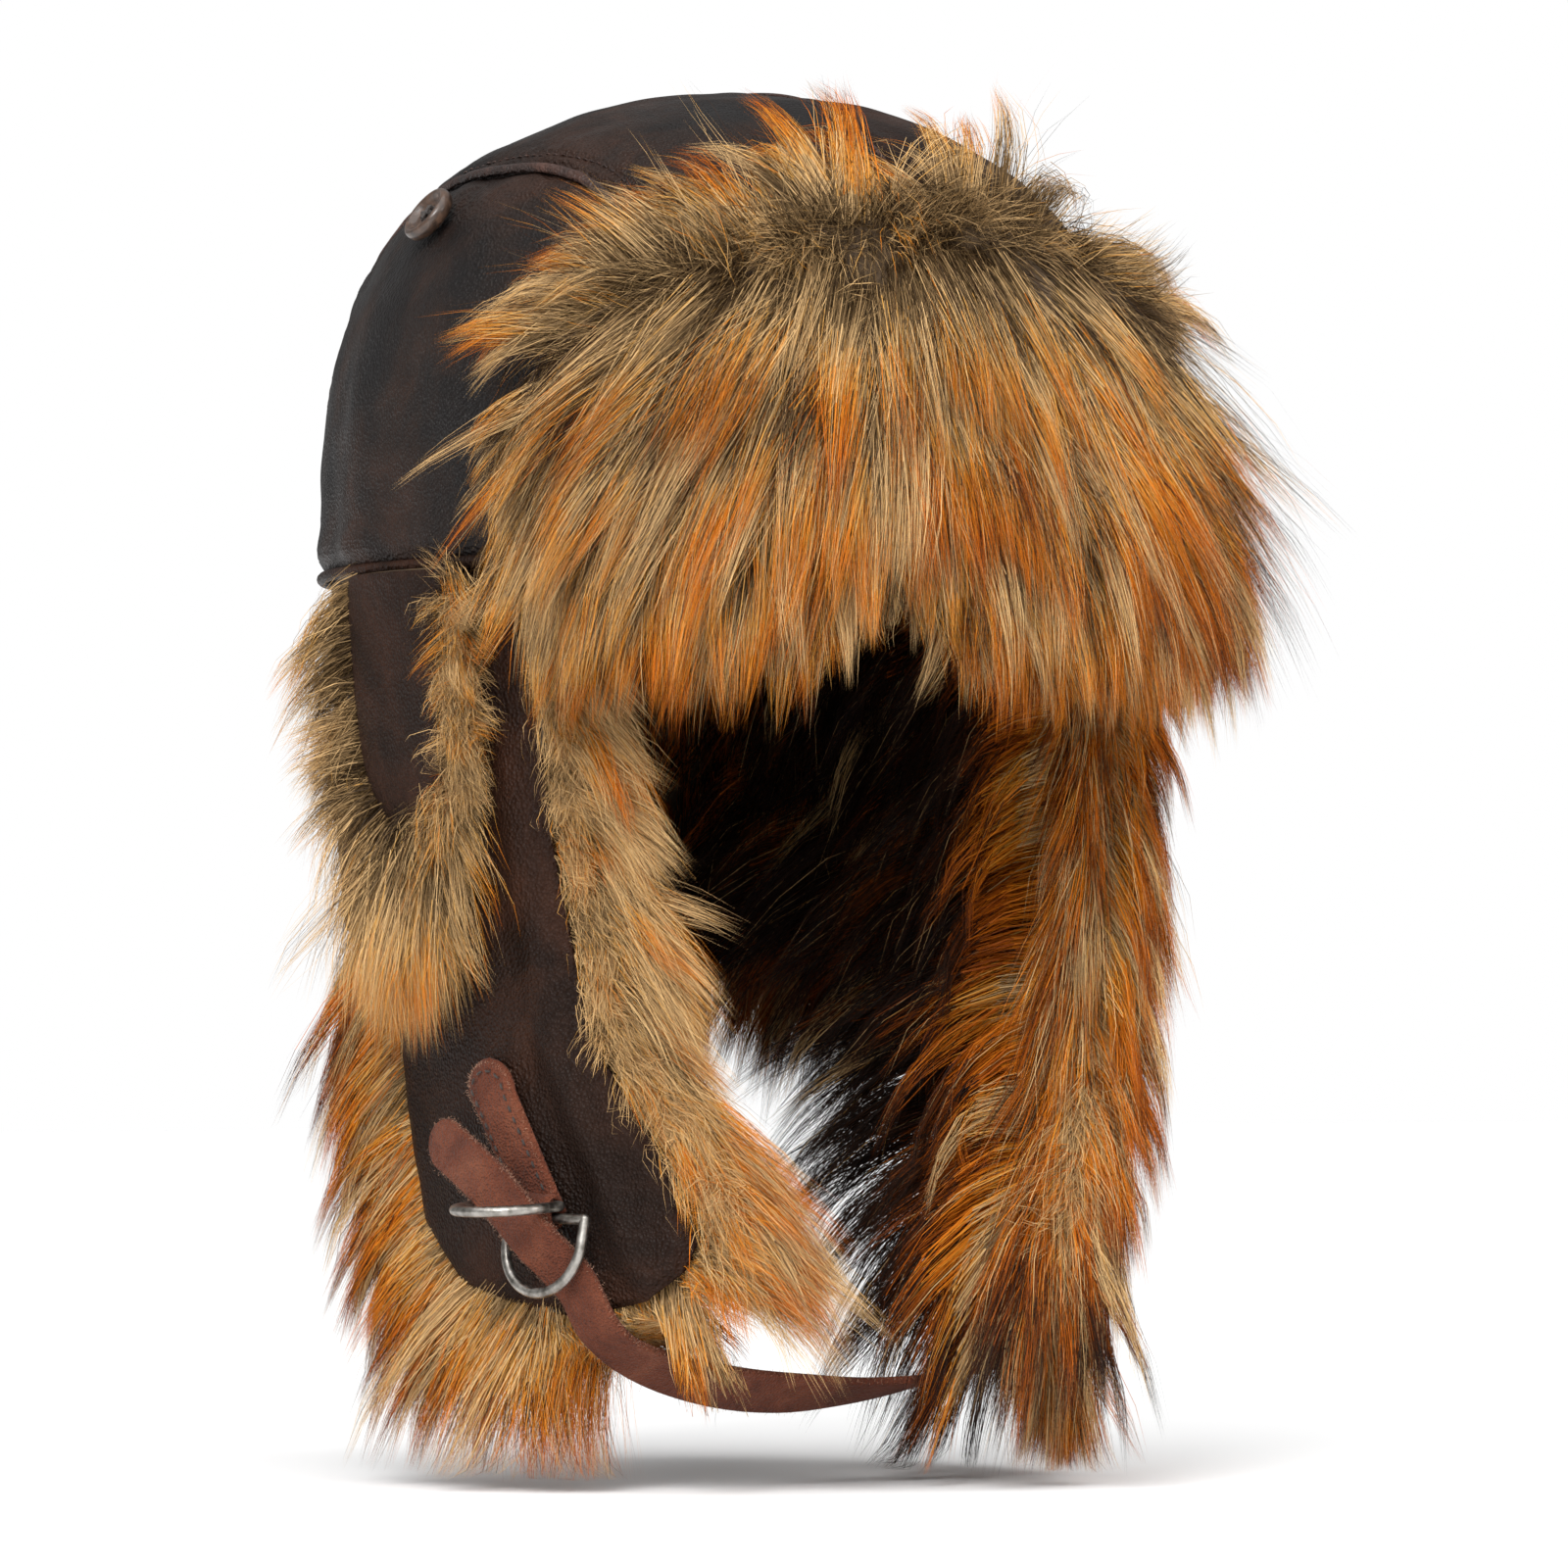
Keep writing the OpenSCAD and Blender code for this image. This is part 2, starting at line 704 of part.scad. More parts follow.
top_panel();  // top_panel_right
mirrored() top_panel();  // top_panel_left
side_panel();  // side_panel_right
mirrored() side_panel();  // side_panel_left
arch_welt();  // arch_welt_right
mirrored() arch_welt();  // arch_welt_left
centre_welt();
crown_topstitch();
edge_binding();
crown_wadding();
quilted_lining();
sweatband();
button();  // button_right
mirrored() button();  // button_left
button_thread();  // button_thread_right
mirrored() button_thread();  // button_thread_left
visor_leather();
visor_interlining();
visor_fur();
ear_flap_leather();  // ear_flap_leather_right
ear_flap_interlining();  // ear_flap_interlining_right
ear_flap_fur();  // ear_flap_fur_right
mirrored() ear_flap_leather();  // ear_flap_leather_left
mirrored() ear_flap_interlining();  // ear_flap_interlining_left
mirrored() ear_flap_fur();  // ear_flap_fur_left
neck_flap_leather();
neck_flap_interlining();
neck_flap_fur();
ear_cover_leather();  // ear_cover_leather_right
ear_cover_fur();  // ear_cover_fur_right
ear_cover_loop();  // ear_cover_loop_right
mirrored() ear_cover_leather();  // ear_cover_leather_left
mirrored() ear_cover_fur();  // ear_cover_fur_left
mirrored() ear_cover_loop();  // ear_cover_loop_left
flap_loop();  // flap_loop_right
mirrored() flap_loop();  // flap_loop_left
buckle_tab();
tab_stitching([0, eye_y], tab_length, tab_lean);  // buckle_tab_stitching
upper_d_ring();
lower_d_ring();
chin_strap();
mirrored() strap_anchor();
mirrored() tab_stitching(anchor_at, anchor_length, anchor_lean);  // strap_anchor_stitching
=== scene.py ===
"""Trapper hat: leather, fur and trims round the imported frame.

The frame is in metres. The shape functions here work in millimetres and repeat the part's own
surfaces, so every piece lies where the CAD solid that it stands for lies.
The hat faces -Y and the wearer's right is -X. Directions ("angle") are counted in degrees from the
front, round the wearer's right side.
"""

import math

import bpy
import numpy as np
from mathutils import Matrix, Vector


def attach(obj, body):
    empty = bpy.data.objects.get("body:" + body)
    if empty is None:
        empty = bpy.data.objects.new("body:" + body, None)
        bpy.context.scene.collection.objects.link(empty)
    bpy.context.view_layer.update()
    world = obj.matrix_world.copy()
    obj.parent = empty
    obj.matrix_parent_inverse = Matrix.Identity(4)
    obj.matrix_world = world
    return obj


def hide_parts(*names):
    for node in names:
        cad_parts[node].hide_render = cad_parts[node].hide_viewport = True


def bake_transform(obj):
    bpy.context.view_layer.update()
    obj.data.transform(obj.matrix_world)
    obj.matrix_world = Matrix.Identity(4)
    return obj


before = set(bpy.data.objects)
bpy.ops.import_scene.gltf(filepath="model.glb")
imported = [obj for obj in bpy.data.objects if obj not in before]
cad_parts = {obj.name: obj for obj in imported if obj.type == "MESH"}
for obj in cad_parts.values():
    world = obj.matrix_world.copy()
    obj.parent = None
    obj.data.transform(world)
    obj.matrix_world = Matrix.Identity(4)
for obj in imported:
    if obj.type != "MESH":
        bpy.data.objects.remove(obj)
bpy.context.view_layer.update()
MM = 0.001

# ---- the part's sizes, in millimetres ----
HALF_L, HALF_W, HEIGHT = 118.0, 98.0, 119.0
SIDE_POWER, TOP_POWER, ARCH_POWER = 2.15, 3.0, 2.6
ARCH_MID_Y, ARCH_HALF, ARCH_H = -7.0, 84.0, 97.0
LEATHER, FELT, GAP, FUR_GAP = 1.4, 2.4, 0.6, 1.3
SKIRT_INSET, CURL, CURL_Y, DROP = 3.0, 0.165, 0.03, 184.0
NECK_DROP, SPLIT = 88.0, 136.2
VISOR_H, VISOR_REACH, VISOR_LIFT = 76.0, 60.0, 3.0
VISOR_ROOT = VISOR_LIFT + LEATHER + FELT + FUR_GAP
FLAP_ROOT = -LEATHER - FELT - FUR_GAP
COVER_MID, COVER_LEAN, COVER_TOP, COVER_DROP = 84.0, 3.0, -4.0, 66.0
COVER_W, COVER_H = 46.0, 5.5
COVER_HALF = COVER_W / 2 / HALF_L * 57.3  # in degrees
BUTTON_Z, BUTTON_D = 84.0, 15.0
STRAP_W, STRAP_T, TAB_W, TAB_LEN, TAB_ANGLE, TAB_Z = 13.0, 2.2, 14.0, 36.0, 64.0, -141.0
ANCHOR_X, ANCHOR_Y, ANCHOR_LEN, ANCHOR_LEAN = 8.0, -43.0, 46.0, 4.0
WADDING, LINING_T = 6.2, 2.0
MM_PER_DEGREE = 1.9  # round a flap
# The ear flap's front and rear edges, as height and angle
FRONT_Z = np.array([-184, -180, -173, -166, -151, -134, -117, -73, -44, 0.0])
FRONT_A = np.array([60, 49, 43, 40.7, 43.2, 49.7, 55.6, 59.4, 60.8, 66.0])
REAR_Z = np.array([-184, -178, -163, -115, -100, -94, -91, -88.5, 0.0])
REAR_A = np.array([70, 83.8, 92.6, 95, 97, 102, 112, 136.2, 136.2])


# ---- small vector helpers on arrays whose last axis is x, y, z ----
def unit(v):
    return v / np.maximum(np.linalg.norm(v, axis=-1, keepdims=True), 1e-9)


def vec(x, y, z):
    return np.stack(np.broadcast_arrays(x, y, z), axis=-1).astype(float)


def lerp(a, b, t):
    return a + (b - a) * t


def smooth(lo, hi, x):
    t = np.clip((x - lo) / (hi - lo), 0, 1)
    return t * t * (3 - 2 * t)


def spow(v, p):
    return np.sign(v) * np.abs(v) ** p


# ---- the crown's surface ----
def crown_r(z):
    return np.maximum(0, 1 - (np.maximum(z, 0) / HEIGHT) ** TOP_POWER) ** (1 / SIDE_POWER)


def crown_at(angle, z):
    a, r = np.radians(angle), crown_r(z)
    return vec(-HALF_W * r * np.sin(a), -HALF_L * r * np.cos(a), z)


def crown_normal(p):
    x, y, z = p[..., 0], p[..., 1], np.maximum(p[..., 2], 0)
    w = np.maximum((x / HALF_W) ** 2 + (y / HALF_L) ** 2, 1e-4)
    k = SIDE_POWER * w ** (SIDE_POWER / 2 - 1)
    steep = TOP_POWER * (z / HEIGHT) ** (TOP_POWER - 1) / HEIGHT
    return unit(vec(k * x / HALF_W**2, k * y / HALF_L**2, steep))


def crown_side(y, z):
    return vec(-HALF_W * np.sqrt(np.maximum(0, crown_r(z) ** 2 - (y / HALF_L) ** 2)), y, z)


def arch_yz(q, shrink=0.0):
    q = np.radians(q)
    return (ARCH_MID_Y + (ARCH_HALF - shrink) * spow(np.cos(q), 2 / ARCH_POWER),
            (ARCH_H - shrink) * np.maximum(np.sin(q), 0) ** (2 / ARCH_POWER))


def ridge_yz(q):
    q = np.radians(q)
    return (HALF_L * spow(np.cos(q), 2 / SIDE_POWER), HEIGHT * np.maximum(np.sin(q), 0) ** (2 / TOP_POWER))


def off_arch(p):
    """Distance inside the side panel's arch, negative on the top panel's side."""
    y, z = (p[..., 1] - ARCH_MID_Y) / ARCH_HALF, np.maximum(p[..., 2], 0) / ARCH_H
    s = (np.abs(y) ** ARCH_POWER + z**ARCH_POWER) ** (1 / ARCH_POWER)
    return (1 - s) * np.where(np.abs(y) * ARCH_HALF > z * ARCH_H, ARCH_HALF, ARCH_H)


def off_crown(p):
    """About how far a point stands off the crown's surface."""
    z = np.maximum(p[..., 2], 0)
    w = (p[..., 0] / HALF_W) ** 2 + (p[..., 1] / HALF_L) ** 2
    f = (w ** (SIDE_POWER / 2) + (z / HEIGHT) ** TOP_POWER) ** 0.4
    return (f - 1) * 100


# ---- the flaps' surface ----
def skirt_at(angle, z):
    a = np.radians(angle)
    q = (np.maximum(0, -z) / DROP) ** 1.7
    return vec(-(HALF_W - SKIRT_INSET) * (1 - CURL * q) * np.sin(a),
               -(HALF_L - SKIRT_INSET) * (1 - CURL_Y * q) * np.cos(a), z)


def skirt_frame(angle, z):
    """Point, outward normal, direction to the rear and direction up."""
    e_a = unit(skirt_at(angle + 0.5, z) - skirt_at(angle - 0.5, z))
    e_z = unit(skirt_at(angle, z + 0.5) - skirt_at(angle, z - 0.5))
    return skirt_at(angle, z), unit(np.cross(e_z, e_a)), e_a, e_z


def visor_top(angle):
    return VISOR_H * np.cos(np.radians(angle * 76 / VISOR_REACH)) ** 0.55


def visor_frame(angle, z):
    """Like skirt_frame, on the crown behind the visor and carried straight down below its edge."""
    zc = np.maximum(z, 0)
    p = crown_at(angle, zc)
    n = crown_normal(p)
    e_a = unit(crown_at(angle + 0.5, zc) - crown_at(angle - 0.5, zc))
    return p + vec(0, 0, np.minimum(z, 0)), n, e_a, unit(np.cross(e_a, n))


def cover_half(f):
    """The ear cover's half width in degrees, f of the way down."""
    return np.where(f < 0.6, COVER_HALF * (1 - 0.1 * f),
                    COVER_HALF * 0.94 * np.sqrt(np.maximum(0, 1 - ((f - 0.6) / 0.4) ** 2) + 0.004))


# ---- soft noise: a few waves in random directions, the same on every run ----
WAVE_COUNT = 9


def waves(p, size, seed):
    rng = np.random.default_rng(seed)
    total = np.zeros(p.shape[:-1])
    for _ in range(WAVE_COUNT):
        k = unit(rng.normal(size=3)) * 2 * math.pi / (size * rng.uniform(0.7, 1.6))
        total += np.sin(p @ k + rng.uniform(0, 2 * math.pi))
    return total / math.sqrt(WAVE_COUNT / 2) / 1.6


# ---- materials ----
def new_material(name):
    m = bpy.data.materials.new(name)
    m.use_nodes = True
    return m, m.node_tree, m.node_tree.nodes["Principled BSDF"]


def put(shader, values):
    for name, value in values.items():
        shader.inputs[name].default_value = value


def node(nt, kind, **values):
    n = nt.nodes.new(kind)
    for key, value in values.items():
        if key in n.inputs:
            n.inputs[key].default_value = value
        else:
            setattr(n, key, value)
    return n


def ramp(nt, source, stops):
    r = nt.nodes.new("ShaderNodeValToRGB")
    while len(r.color_ramp.elements) < len(stops):
        r.color_ramp.elements.new(0.5)
    for e, (at, colour) in zip(r.color_ramp.elements, stops, strict=True):
        e.position = at
        e.color = (*colour, 1)
    nt.links.new(source, r.inputs[0])
    return r.outputs[0]


def noise(nt, scale, detail=4.0, rough=0.55, distort=0.0):
    coord = node(nt, "ShaderNodeTexCoord")
    n = node(nt, "ShaderNodeTexNoise", Scale=scale, Detail=detail, Roughness=rough, Distortion=distort)
    nt.links.new(coord.outputs["Object"], n.inputs["Vector"])
    return n.outputs[0]


def add_bump(nt, shader, layers):
    """layers: (height output, strength, distance), coarse to fine."""
    last = None
    for height, strength, distance in layers:
        b = node(nt, "ShaderNodeBump", Strength=strength, Distance=distance)
        nt.links.new(height, b.inputs["Height"])
        if last is not None:
            nt.links.new(last.outputs[0], b.inputs["Normal"])
        last = b
    nt.links.new(last.outputs[0], shader.inputs["Normal"])


def leather(name, colours, grain=1100.0, roughness=(0.36, 0.56), patch=26.0, specular=0.34, fuzz=0.0):
    """Mottled leather: patches of colour, pebble grain, soft creases."""
    m, nt, s = new_material(name)
    base = ramp(nt, noise(nt, patch, 5, 0.6, 0.6), list(zip((0.3, 0.46, 0.58, 0.72), colours, strict=True)))
    fine = noise(nt, 420, 3, 0.6)
    mix = node(nt, "ShaderNodeMix", data_type="RGBA", blend_type="MULTIPLY")
    mix.inputs[0].default_value = 0.45
    nt.links.new(base, mix.inputs[6])
    nt.links.new(ramp(nt, fine, [(0.25, (0.45, 0.42, 0.4)), (0.7, (1.0, 1.0, 1.0))]), mix.inputs[7])
    nt.links.new(mix.outputs[2], s.inputs["Base Color"])
    rough = node(nt, "ShaderNodeMapRange")
    nt.links.new(noise(nt, 60, 4), rough.inputs[0])
    rough.inputs[1].default_value, rough.inputs[2].default_value = 0.3, 0.7
    rough.inputs[3].default_value, rough.inputs[4].default_value = roughness
    nt.links.new(rough.outputs[0], s.inputs["Roughness"])
    put(s, {"Specular IOR Level": specular})
    if fuzz:
        put(s, {"Sheen Weight": fuzz, "Sheen Roughness": 0.6})
    cells = node(nt, "ShaderNodeTexVoronoi", Scale=grain)
    coord = node(nt, "ShaderNodeTexCoord")
    nt.links.new(coord.outputs["Object"], cells.inputs["Vector"])
    add_bump(nt, s, [(noise(nt, 90, 5, 0.6, 1.2), 0.6, 0.0014), (cells.outputs[0], 0.8, 0.0008),
                     (noise(nt, 1900, 2), 0.4, 0.0004)])
    return m


def cloth(name, dark, light, scale=900.0, roughness=0.85, sheen=0.3):
    m, nt, s = new_material(name)
    nt.links.new(ramp(nt, noise(nt, 120, 4), [(0.3, dark), (0.7, light)]), s.inputs["Base Color"])
    put(s, {"Roughness": roughness, "Sheen Weight": sheen})
    add_bump(nt, s, [(noise(nt, scale, 3, 0.6), 0.5, 0.0004)])
    return m


def worn_metal(name):
    m, nt, s = new_material(name)
    nt.links.new(ramp(nt, noise(nt, 300, 4), [(0.32, (0.13, 0.12, 0.105)), (0.6, (0.4, 0.38, 0.35))]),
                 s.inputs["Base Color"])
    put(s, {"Metallic": 1.0})
    nt.links.new(ramp(nt, noise(nt, 500, 3), [(0.3, (0.28,) * 3), (0.7, (0.5,) * 3)]), s.inputs["Roughness"])
    add_bump(nt, s, [(noise(nt, 700, 3), 0.25, 0.0003)])
    return m


SHELL = leather("shell_leather", [
    (0.005, 0.0043, 0.0046), (0.008, 0.0056, 0.005), (0.017, 0.0088, 0.006), (0.034, 0.0145, 0.0085)],
    specular=0.17)
SHELL_WARM = leather("shell_leather_warm", [
    (0.0085, 0.0044, 0.003), (0.016, 0.0073, 0.0045), (0.03, 0.0125, 0.0072), (0.046, 0.018, 0.01)],
    specular=0.1)
SEAM = leather("welt_leather", [
    (0.012, 0.008, 0.007), (0.026, 0.013, 0.01), (0.05, 0.022, 0.015), (0.075, 0.032, 0.022)], patch=60)
TAN = leather("strap_leather", [
    (0.08, 0.02, 0.0085), (0.118, 0.03, 0.013), (0.145, 0.04, 0.018), (0.18, 0.056, 0.026)],
    grain=1500, roughness=(0.6, 0.8), patch=70, specular=0.15, fuzz=0.04)
BAND = leather("sweatband_leather", [
    (0.05, 0.03, 0.02), (0.07, 0.04, 0.028), (0.09, 0.05, 0.035), (0.11, 0.065, 0.045)],
    roughness=(0.5, 0.7))
FELT_MAT = cloth("felt", (0.05, 0.036, 0.024), (0.1, 0.075, 0.05), 500)
LINING = cloth("satin_lining", (0.02, 0.013, 0.01), (0.045, 0.03, 0.022), 1400, 0.45, 0.1)
THREAD = cloth("thread", (0.01, 0.007, 0.006), (0.03, 0.02, 0.015), 2500, 0.6, 0.1)
ELASTIC = cloth("elastic", (0.006, 0.005, 0.005), (0.02, 0.016, 0.014), 3000, 0.7, 0.1)
HORN, horn_nt, horn_shader = new_material("horn")
horn_colours = [(0.3, (0.018, 0.011, 0.008)), (0.5, (0.05, 0.028, 0.018)), (0.75, (0.11, 0.062, 0.04))]
horn_colour = ramp(horn_nt, noise(horn_nt, 240, 5, 0.6, 2.0), horn_colours)
horn_nt.links.new(horn_colour, horn_shader.inputs["Base Color"])
put(horn_shader, {"Roughness": 0.33, "Coat Weight": 0.25})
add_bump(horn_nt, horn_shader, [(noise(horn_nt, 900, 3), 0.12, 0.0002)])
METAL = worn_metal("antique_silver")

# Fur strands take their colour from a short palette, one face at a time, from root to tip. The darkest
# browns, at the roots, are partly painted shade between the locks; the dark browns at the tips are the hair's
# own.
FUR_COLOURS = [
    (0.03, 0.016, 0.006), (0.065, 0.037, 0.015), (0.13, 0.079, 0.033), (0.22, 0.137, 0.06),
    (0.37, 0.236, 0.108), (0.58, 0.37, 0.165), (0.57, 0.3, 0.075), (0.59, 0.225, 0.022),
    (0.58, 0.165, 0.008), (0.45, 0.105, 0.005), (0.24, 0.052, 0.004), (0.09, 0.022, 0.004),
    (0.028, 0.01, 0.004), (0.01, 0.005, 0.003),
]
FUR_MATS = []
for k, colour in enumerate(FUR_COLOURS):
    m, _, s = new_material(f"fur_{k:02d}")
    put(s, {"Base Color": (*colour, 1), "Roughness": 0.55, "Specular IOR Level": 0.12})
    FUR_MATS.append(m)
LAST_COLOUR = len(FUR_COLOURS) - 1
PILE = cloth("fur_pile", (0.03, 0.017, 0.008), (0.09, 0.055, 0.026), 260, 0.95, 0.0)


# ---- meshes ----
def add_object(name, data):
    ob = bpy.data.objects.new(name, data)
    bpy.context.scene.collection.objects.link(ob)
    return ob


def make_object(name, points, faces, material):
    me = bpy.data.meshes.new(name)
    me.from_pydata((np.asarray(points).reshape(-1, 3) * MM).tolist(), [], faces)
    me.materials.append(material)
    me.polygons.foreach_set("use_smooth", [True] * len(me.polygons))
    return add_object(name, me)


def stand_for(piece, cad, slot, body=None):
    """A piece shown in place of a CAD node, riding on the given body; the slot argument is not used."""
    if body:
        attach(piece, body)
    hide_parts(cad)


def grid_faces(nu, nv, start=0, flip=False):
    """Quads of a grid with nu + 1 points in a row and nv + 1 rows."""
    w = nu + 1
    j, i = np.meshgrid(np.arange(nv), np.arange(nu), indexing="ij")
    a = (start + j * w + i).ravel()
    quads = np.stack([a, a + 1, a + w + 1, a + w], 1)
    return (quads[:, ::-1] if flip else quads).tolist()


def ring(row, n, start=0):
    """The point numbers of one row of n points."""
    return list(range(start + row * n, start + row * n + n))


def between(a, b):
    """The quads between two closed rings of points."""
    n = len(a)
    return [[a[i], b[i], b[(i + 1) % n], a[(i + 1) % n]] for i in range(n)]


def shell(name, nu, nv, at, material, rows_round=3):
    """A closed sheet with a rounded rim. at(s, t, k) gives its points for s, t in 0..1 and k = 0 on the
    outer face to 1 on the inner one."""
    s, t = np.meshgrid(np.linspace(0, 1, nu + 1), np.linspace(0, 1, nv + 1))
    outer, inner = at(s, t, 0.0), at(s, t, 1.0)
    w = nu + 1
    points = [outer.reshape(-1, 3), inner.reshape(-1, 3)]
    layer = w * (nv + 1)
    faces = grid_faces(nu, nv) + grid_faces(nu, nv, layer, True)
    rim = (list(range(nu)) + [j * w + nu for j in range(nv)]
           + [nv * w + i for i in range(nu, 0, -1)] + [j * w for j in range(nv, 0, -1)])
    ro, ri = points[0][rim], points[1][rim]
    along = unit(np.roll(ro, -1, 0) - np.roll(ro, 1, 0))
    across = unit(ri - ro)
    out = unit(np.cross(across, along))
    if np.mean(np.sum(out * (ro - points[0].mean(0)), 1)) < 0:
        out = -out
    thick = np.linalg.norm(ri - ro, axis=1, keepdims=True)
    rings = [rim]
    for r in range(rows_round):
        f = (r + 1) / (rows_round + 1)
        points.append(lerp(ro, ri, f) + out * thick * 0.5 * math.sin(math.pi * f))
        rings.append(ring(r, len(rim), 2 * layer))
    rings.append([layer + i for i in rim])
    for a, b in zip(rings, rings[1:]):
        faces += between(a, b)
    return make_object(name, np.vstack(points), faces, material)


def tube(name, path, normals, shape, material, closed=False):
    """Sweeps a cross-section, a list of (across, up) pairs that may change along the path."""
    path, normals = np.asarray(path, float), unit(np.asarray(normals, float))
    n = len(path)
    if closed:
        along = unit(np.roll(path, -1, 0) - np.roll(path, 1, 0))
    else:
        along = unit(np.gradient(path, axis=0))
    up = unit(normals - np.sum(normals * along, 1, keepdims=True) * along)
    across = np.cross(along, up)
    shape = np.asarray(shape, float)
    if shape.ndim == 2:
        shape = np.repeat(shape[None], n, 0)
    m = shape.shape[1]
    points = path[:, None] + shape[..., :1] * across[:, None] + shape[..., 1:] * up[:, None]
    faces = []
    for i in range(n if closed else n - 1):
        faces += between(ring(i, m), ring((i + 1) % n, m))
    if not closed:
        faces += [ring(0, m)[::-1], ring(n - 1, m)]
    return make_object(name, points, faces, material)


def round_shape(rx, ry, sides):
    a = np.linspace(0, 2 * math.pi, sides, endpoint=False)
    return np.stack([rx * np.cos(a), ry * np.sin(a)], 1)


def strap_shape(width, thick):
    """A flat strap's cross-section with rounded corners."""
    corner = 0.6
    w, h = width / 2 - corner, thick / 2 - corner
    points = []
    for cx, cy, turn in ((w, h, 0), (-w, h, 90), (-w, -h, 180), (w, -h, 270)):
        for a in (0, 45, 90):
            r = math.radians(turn + a)
            points.append((cx + corner * math.cos(r), cy + corner * math.sin(r)))
    return np.array(points)


def spline(points, steps):
    """Catmull-Rom curve through points, with a row of values each."""
    p = np.asarray(points, float)
    p = np.vstack([2 * p[0] - p[1], p, 2 * p[-1] - p[-2]])
    out = []
    for i in range(1, len(p) - 2):
        t = np.linspace(0, 1, steps, endpoint=False)[:, None]
        a, b, c, d = p[i - 1], p[i], p[i + 1], p[i + 2]
        out.append(0.5 * (2 * b + (c - a) * t + (2 * a - 5 * b + 4 * c - d) * t**2
                          + (3 * b - a - 3 * c + d) * t**3))
    out.append(p[-2][None])
    return np.vstack(out)


def run_along(path):
    """The length of a path up to each of its points."""
    return np.concatenate([[0], np.cumsum(np.linalg.norm(np.diff(path, axis=0), axis=1))])


def joined(name, pieces):
    """One object from several."""
    for o in bpy.context.selected_objects:
        o.select_set(False)
    for o in pieces:
        o.select_set(True)
    bpy.context.view_layer.objects.active = pieces[0]
    bpy.ops.object.join()
    pieces[0].name = name
    pieces[0].data.name = name
    return pieces[0]


def stitches(name, places, length, radius, material):
    """Short thread capsules at places: (point, along, normal)."""
    p, along, n = (np.array(x, float) for x in zip(*places, strict=True))
    along, n = unit(along), unit(n)
    side = np.cross(n, along)
    rows, sides = 5, 6
    f = np.linspace(-1, 1, rows)
    r = radius * np.sqrt(np.maximum(0.08, 1 - f**4))
    rise = radius * 0.7 * (1 - f**2)
    a = np.linspace(0, 2 * math.pi, sides, endpoint=False)
    pts = (p[:, None, None] + (f * length / 2)[None, :, None, None] * along[:, None, None]
           + (r[:, None] * np.cos(a))[None, :, :, None] * side[:, None, None]
           + (r[:, None] * np.sin(a) + rise[:, None])[None, :, :, None] * n[:, None, None])
    faces = []
    for s in range(len(p)):
        rings = [ring(i, sides, s * rows * sides) for i in range(rows)]
        for low, high in zip(rings, rings[1:]):
            faces += between(high, low)
        faces += [rings[0][::-1], rings[-1]]
    return make_object(name, pts, faces, material)


def mirror_points(ob, name):
    """A mirrored copy of a piece on the wearer's left."""
    me = ob.data.copy()
    me.name = name
    co = np.empty(len(me.vertices) * 3, np.float32)
    me.vertices.foreach_get("co", co)
    co[0::3] *= -1
    me.vertices.foreach_set("co", co)
    me.flip_normals()
    return add_object(name, me)


def with_mirror(piece):
    """A piece named for the right side, its mirrored copy, and their sides."""
    return (piece, "right"), (mirror_points(piece, piece.name.replace("right", "left")), "left")


# ---- crown ----
def crown_relief(p):
    """Height of the padded leather over the crown's surface."""
    d = off_arch(p)
    z, x = p[..., 2], np.abs(p[..., 0])
    on_side = d > 0
    h = 0.5 * waves(p * [1, 1, 0.55], 46, 3) + 0.22 * waves(p, 17, 4)
    h -= 1.5 * np.exp(-((d / 1.7) ** 2)) - 0.5 * np.exp(-(((np.abs(d) - 6) / 3.5) ** 2))
    h -= np.where(on_side, 0, 0.45 * np.exp(-(((-d - 3.5) / 0.7) ** 2)))
    h += 0.25 * np.exp(-((d / 9) ** 2)) * np.sin(d * 0.6 + 2.1 * waves(p, 14, 8) * 3)
    h -= np.where(on_side, 0, 1.1 * np.exp(-((x / 1.3) ** 2)) - 0.3 * np.exp(-(((x - 4) / 2.5) ** 2)))
    h += 0.9 * smooth(26, 5, z) * waves(p * [1, 1, 0.15], 30, 5) * 0.8
    h += 0.9 * np.exp(-(((z - 5) / 4) ** 2)) - 2.0 * np.exp(-((z / 1.8) ** 2))
    return h * 0.9


def crown_panel(name, nu, nv, flat, material):
    """flat(s, t) gives points on the crown's right side."""
    def at(s, t, k):
        p = flat(s, t)
        n = crown_normal(p)
        edge = np.minimum(np.minimum(s, 1 - s), np.minimum(t, 1 - t))
        p = p + (crown_relief(p) * smooth(0, 0.02, edge + 0.012) - k * LEATHER)[..., None] * n
        p[..., 0] = np.minimum(p[..., 0], -0.05)
        return p
    return shell(name, nu, nv, at, material)


def top_flat(s, t):
    v = np.sin(np.pi / 2 * t)
    ay, az = arch_yz(180 * s)
    ry, rz = ridge_yz(180 * s)
    return crown_side(lerp(ay, ry, v), lerp(az, rz, v))


def side_flat(s, t):
    ey, ez = arch_yz(np.minimum(88.5, 90 * t), 0.3)
    return crown_side(ARCH_MID_Y + (ey - ARCH_MID_Y) * (1 - 2 * s), ez)


for piece, side in with_mirror(crown_panel("crown_top_right", 240, 90, top_flat, SHELL)):
    stand_for(piece, f"top_panel_{side}", "shell_leather", "crown")
    # The left half, on the far side, gets the warmer brown leather as a painted sheen
    piece.data.materials[0] = SHELL_WARM if side == "left" else SHELL
for piece, side in with_mirror(crown_panel("crown_side_right", 170, 130, side_flat, SHELL)):
    stand_for(piece, f"side_panel_{side}", "shell_leather", "crown")


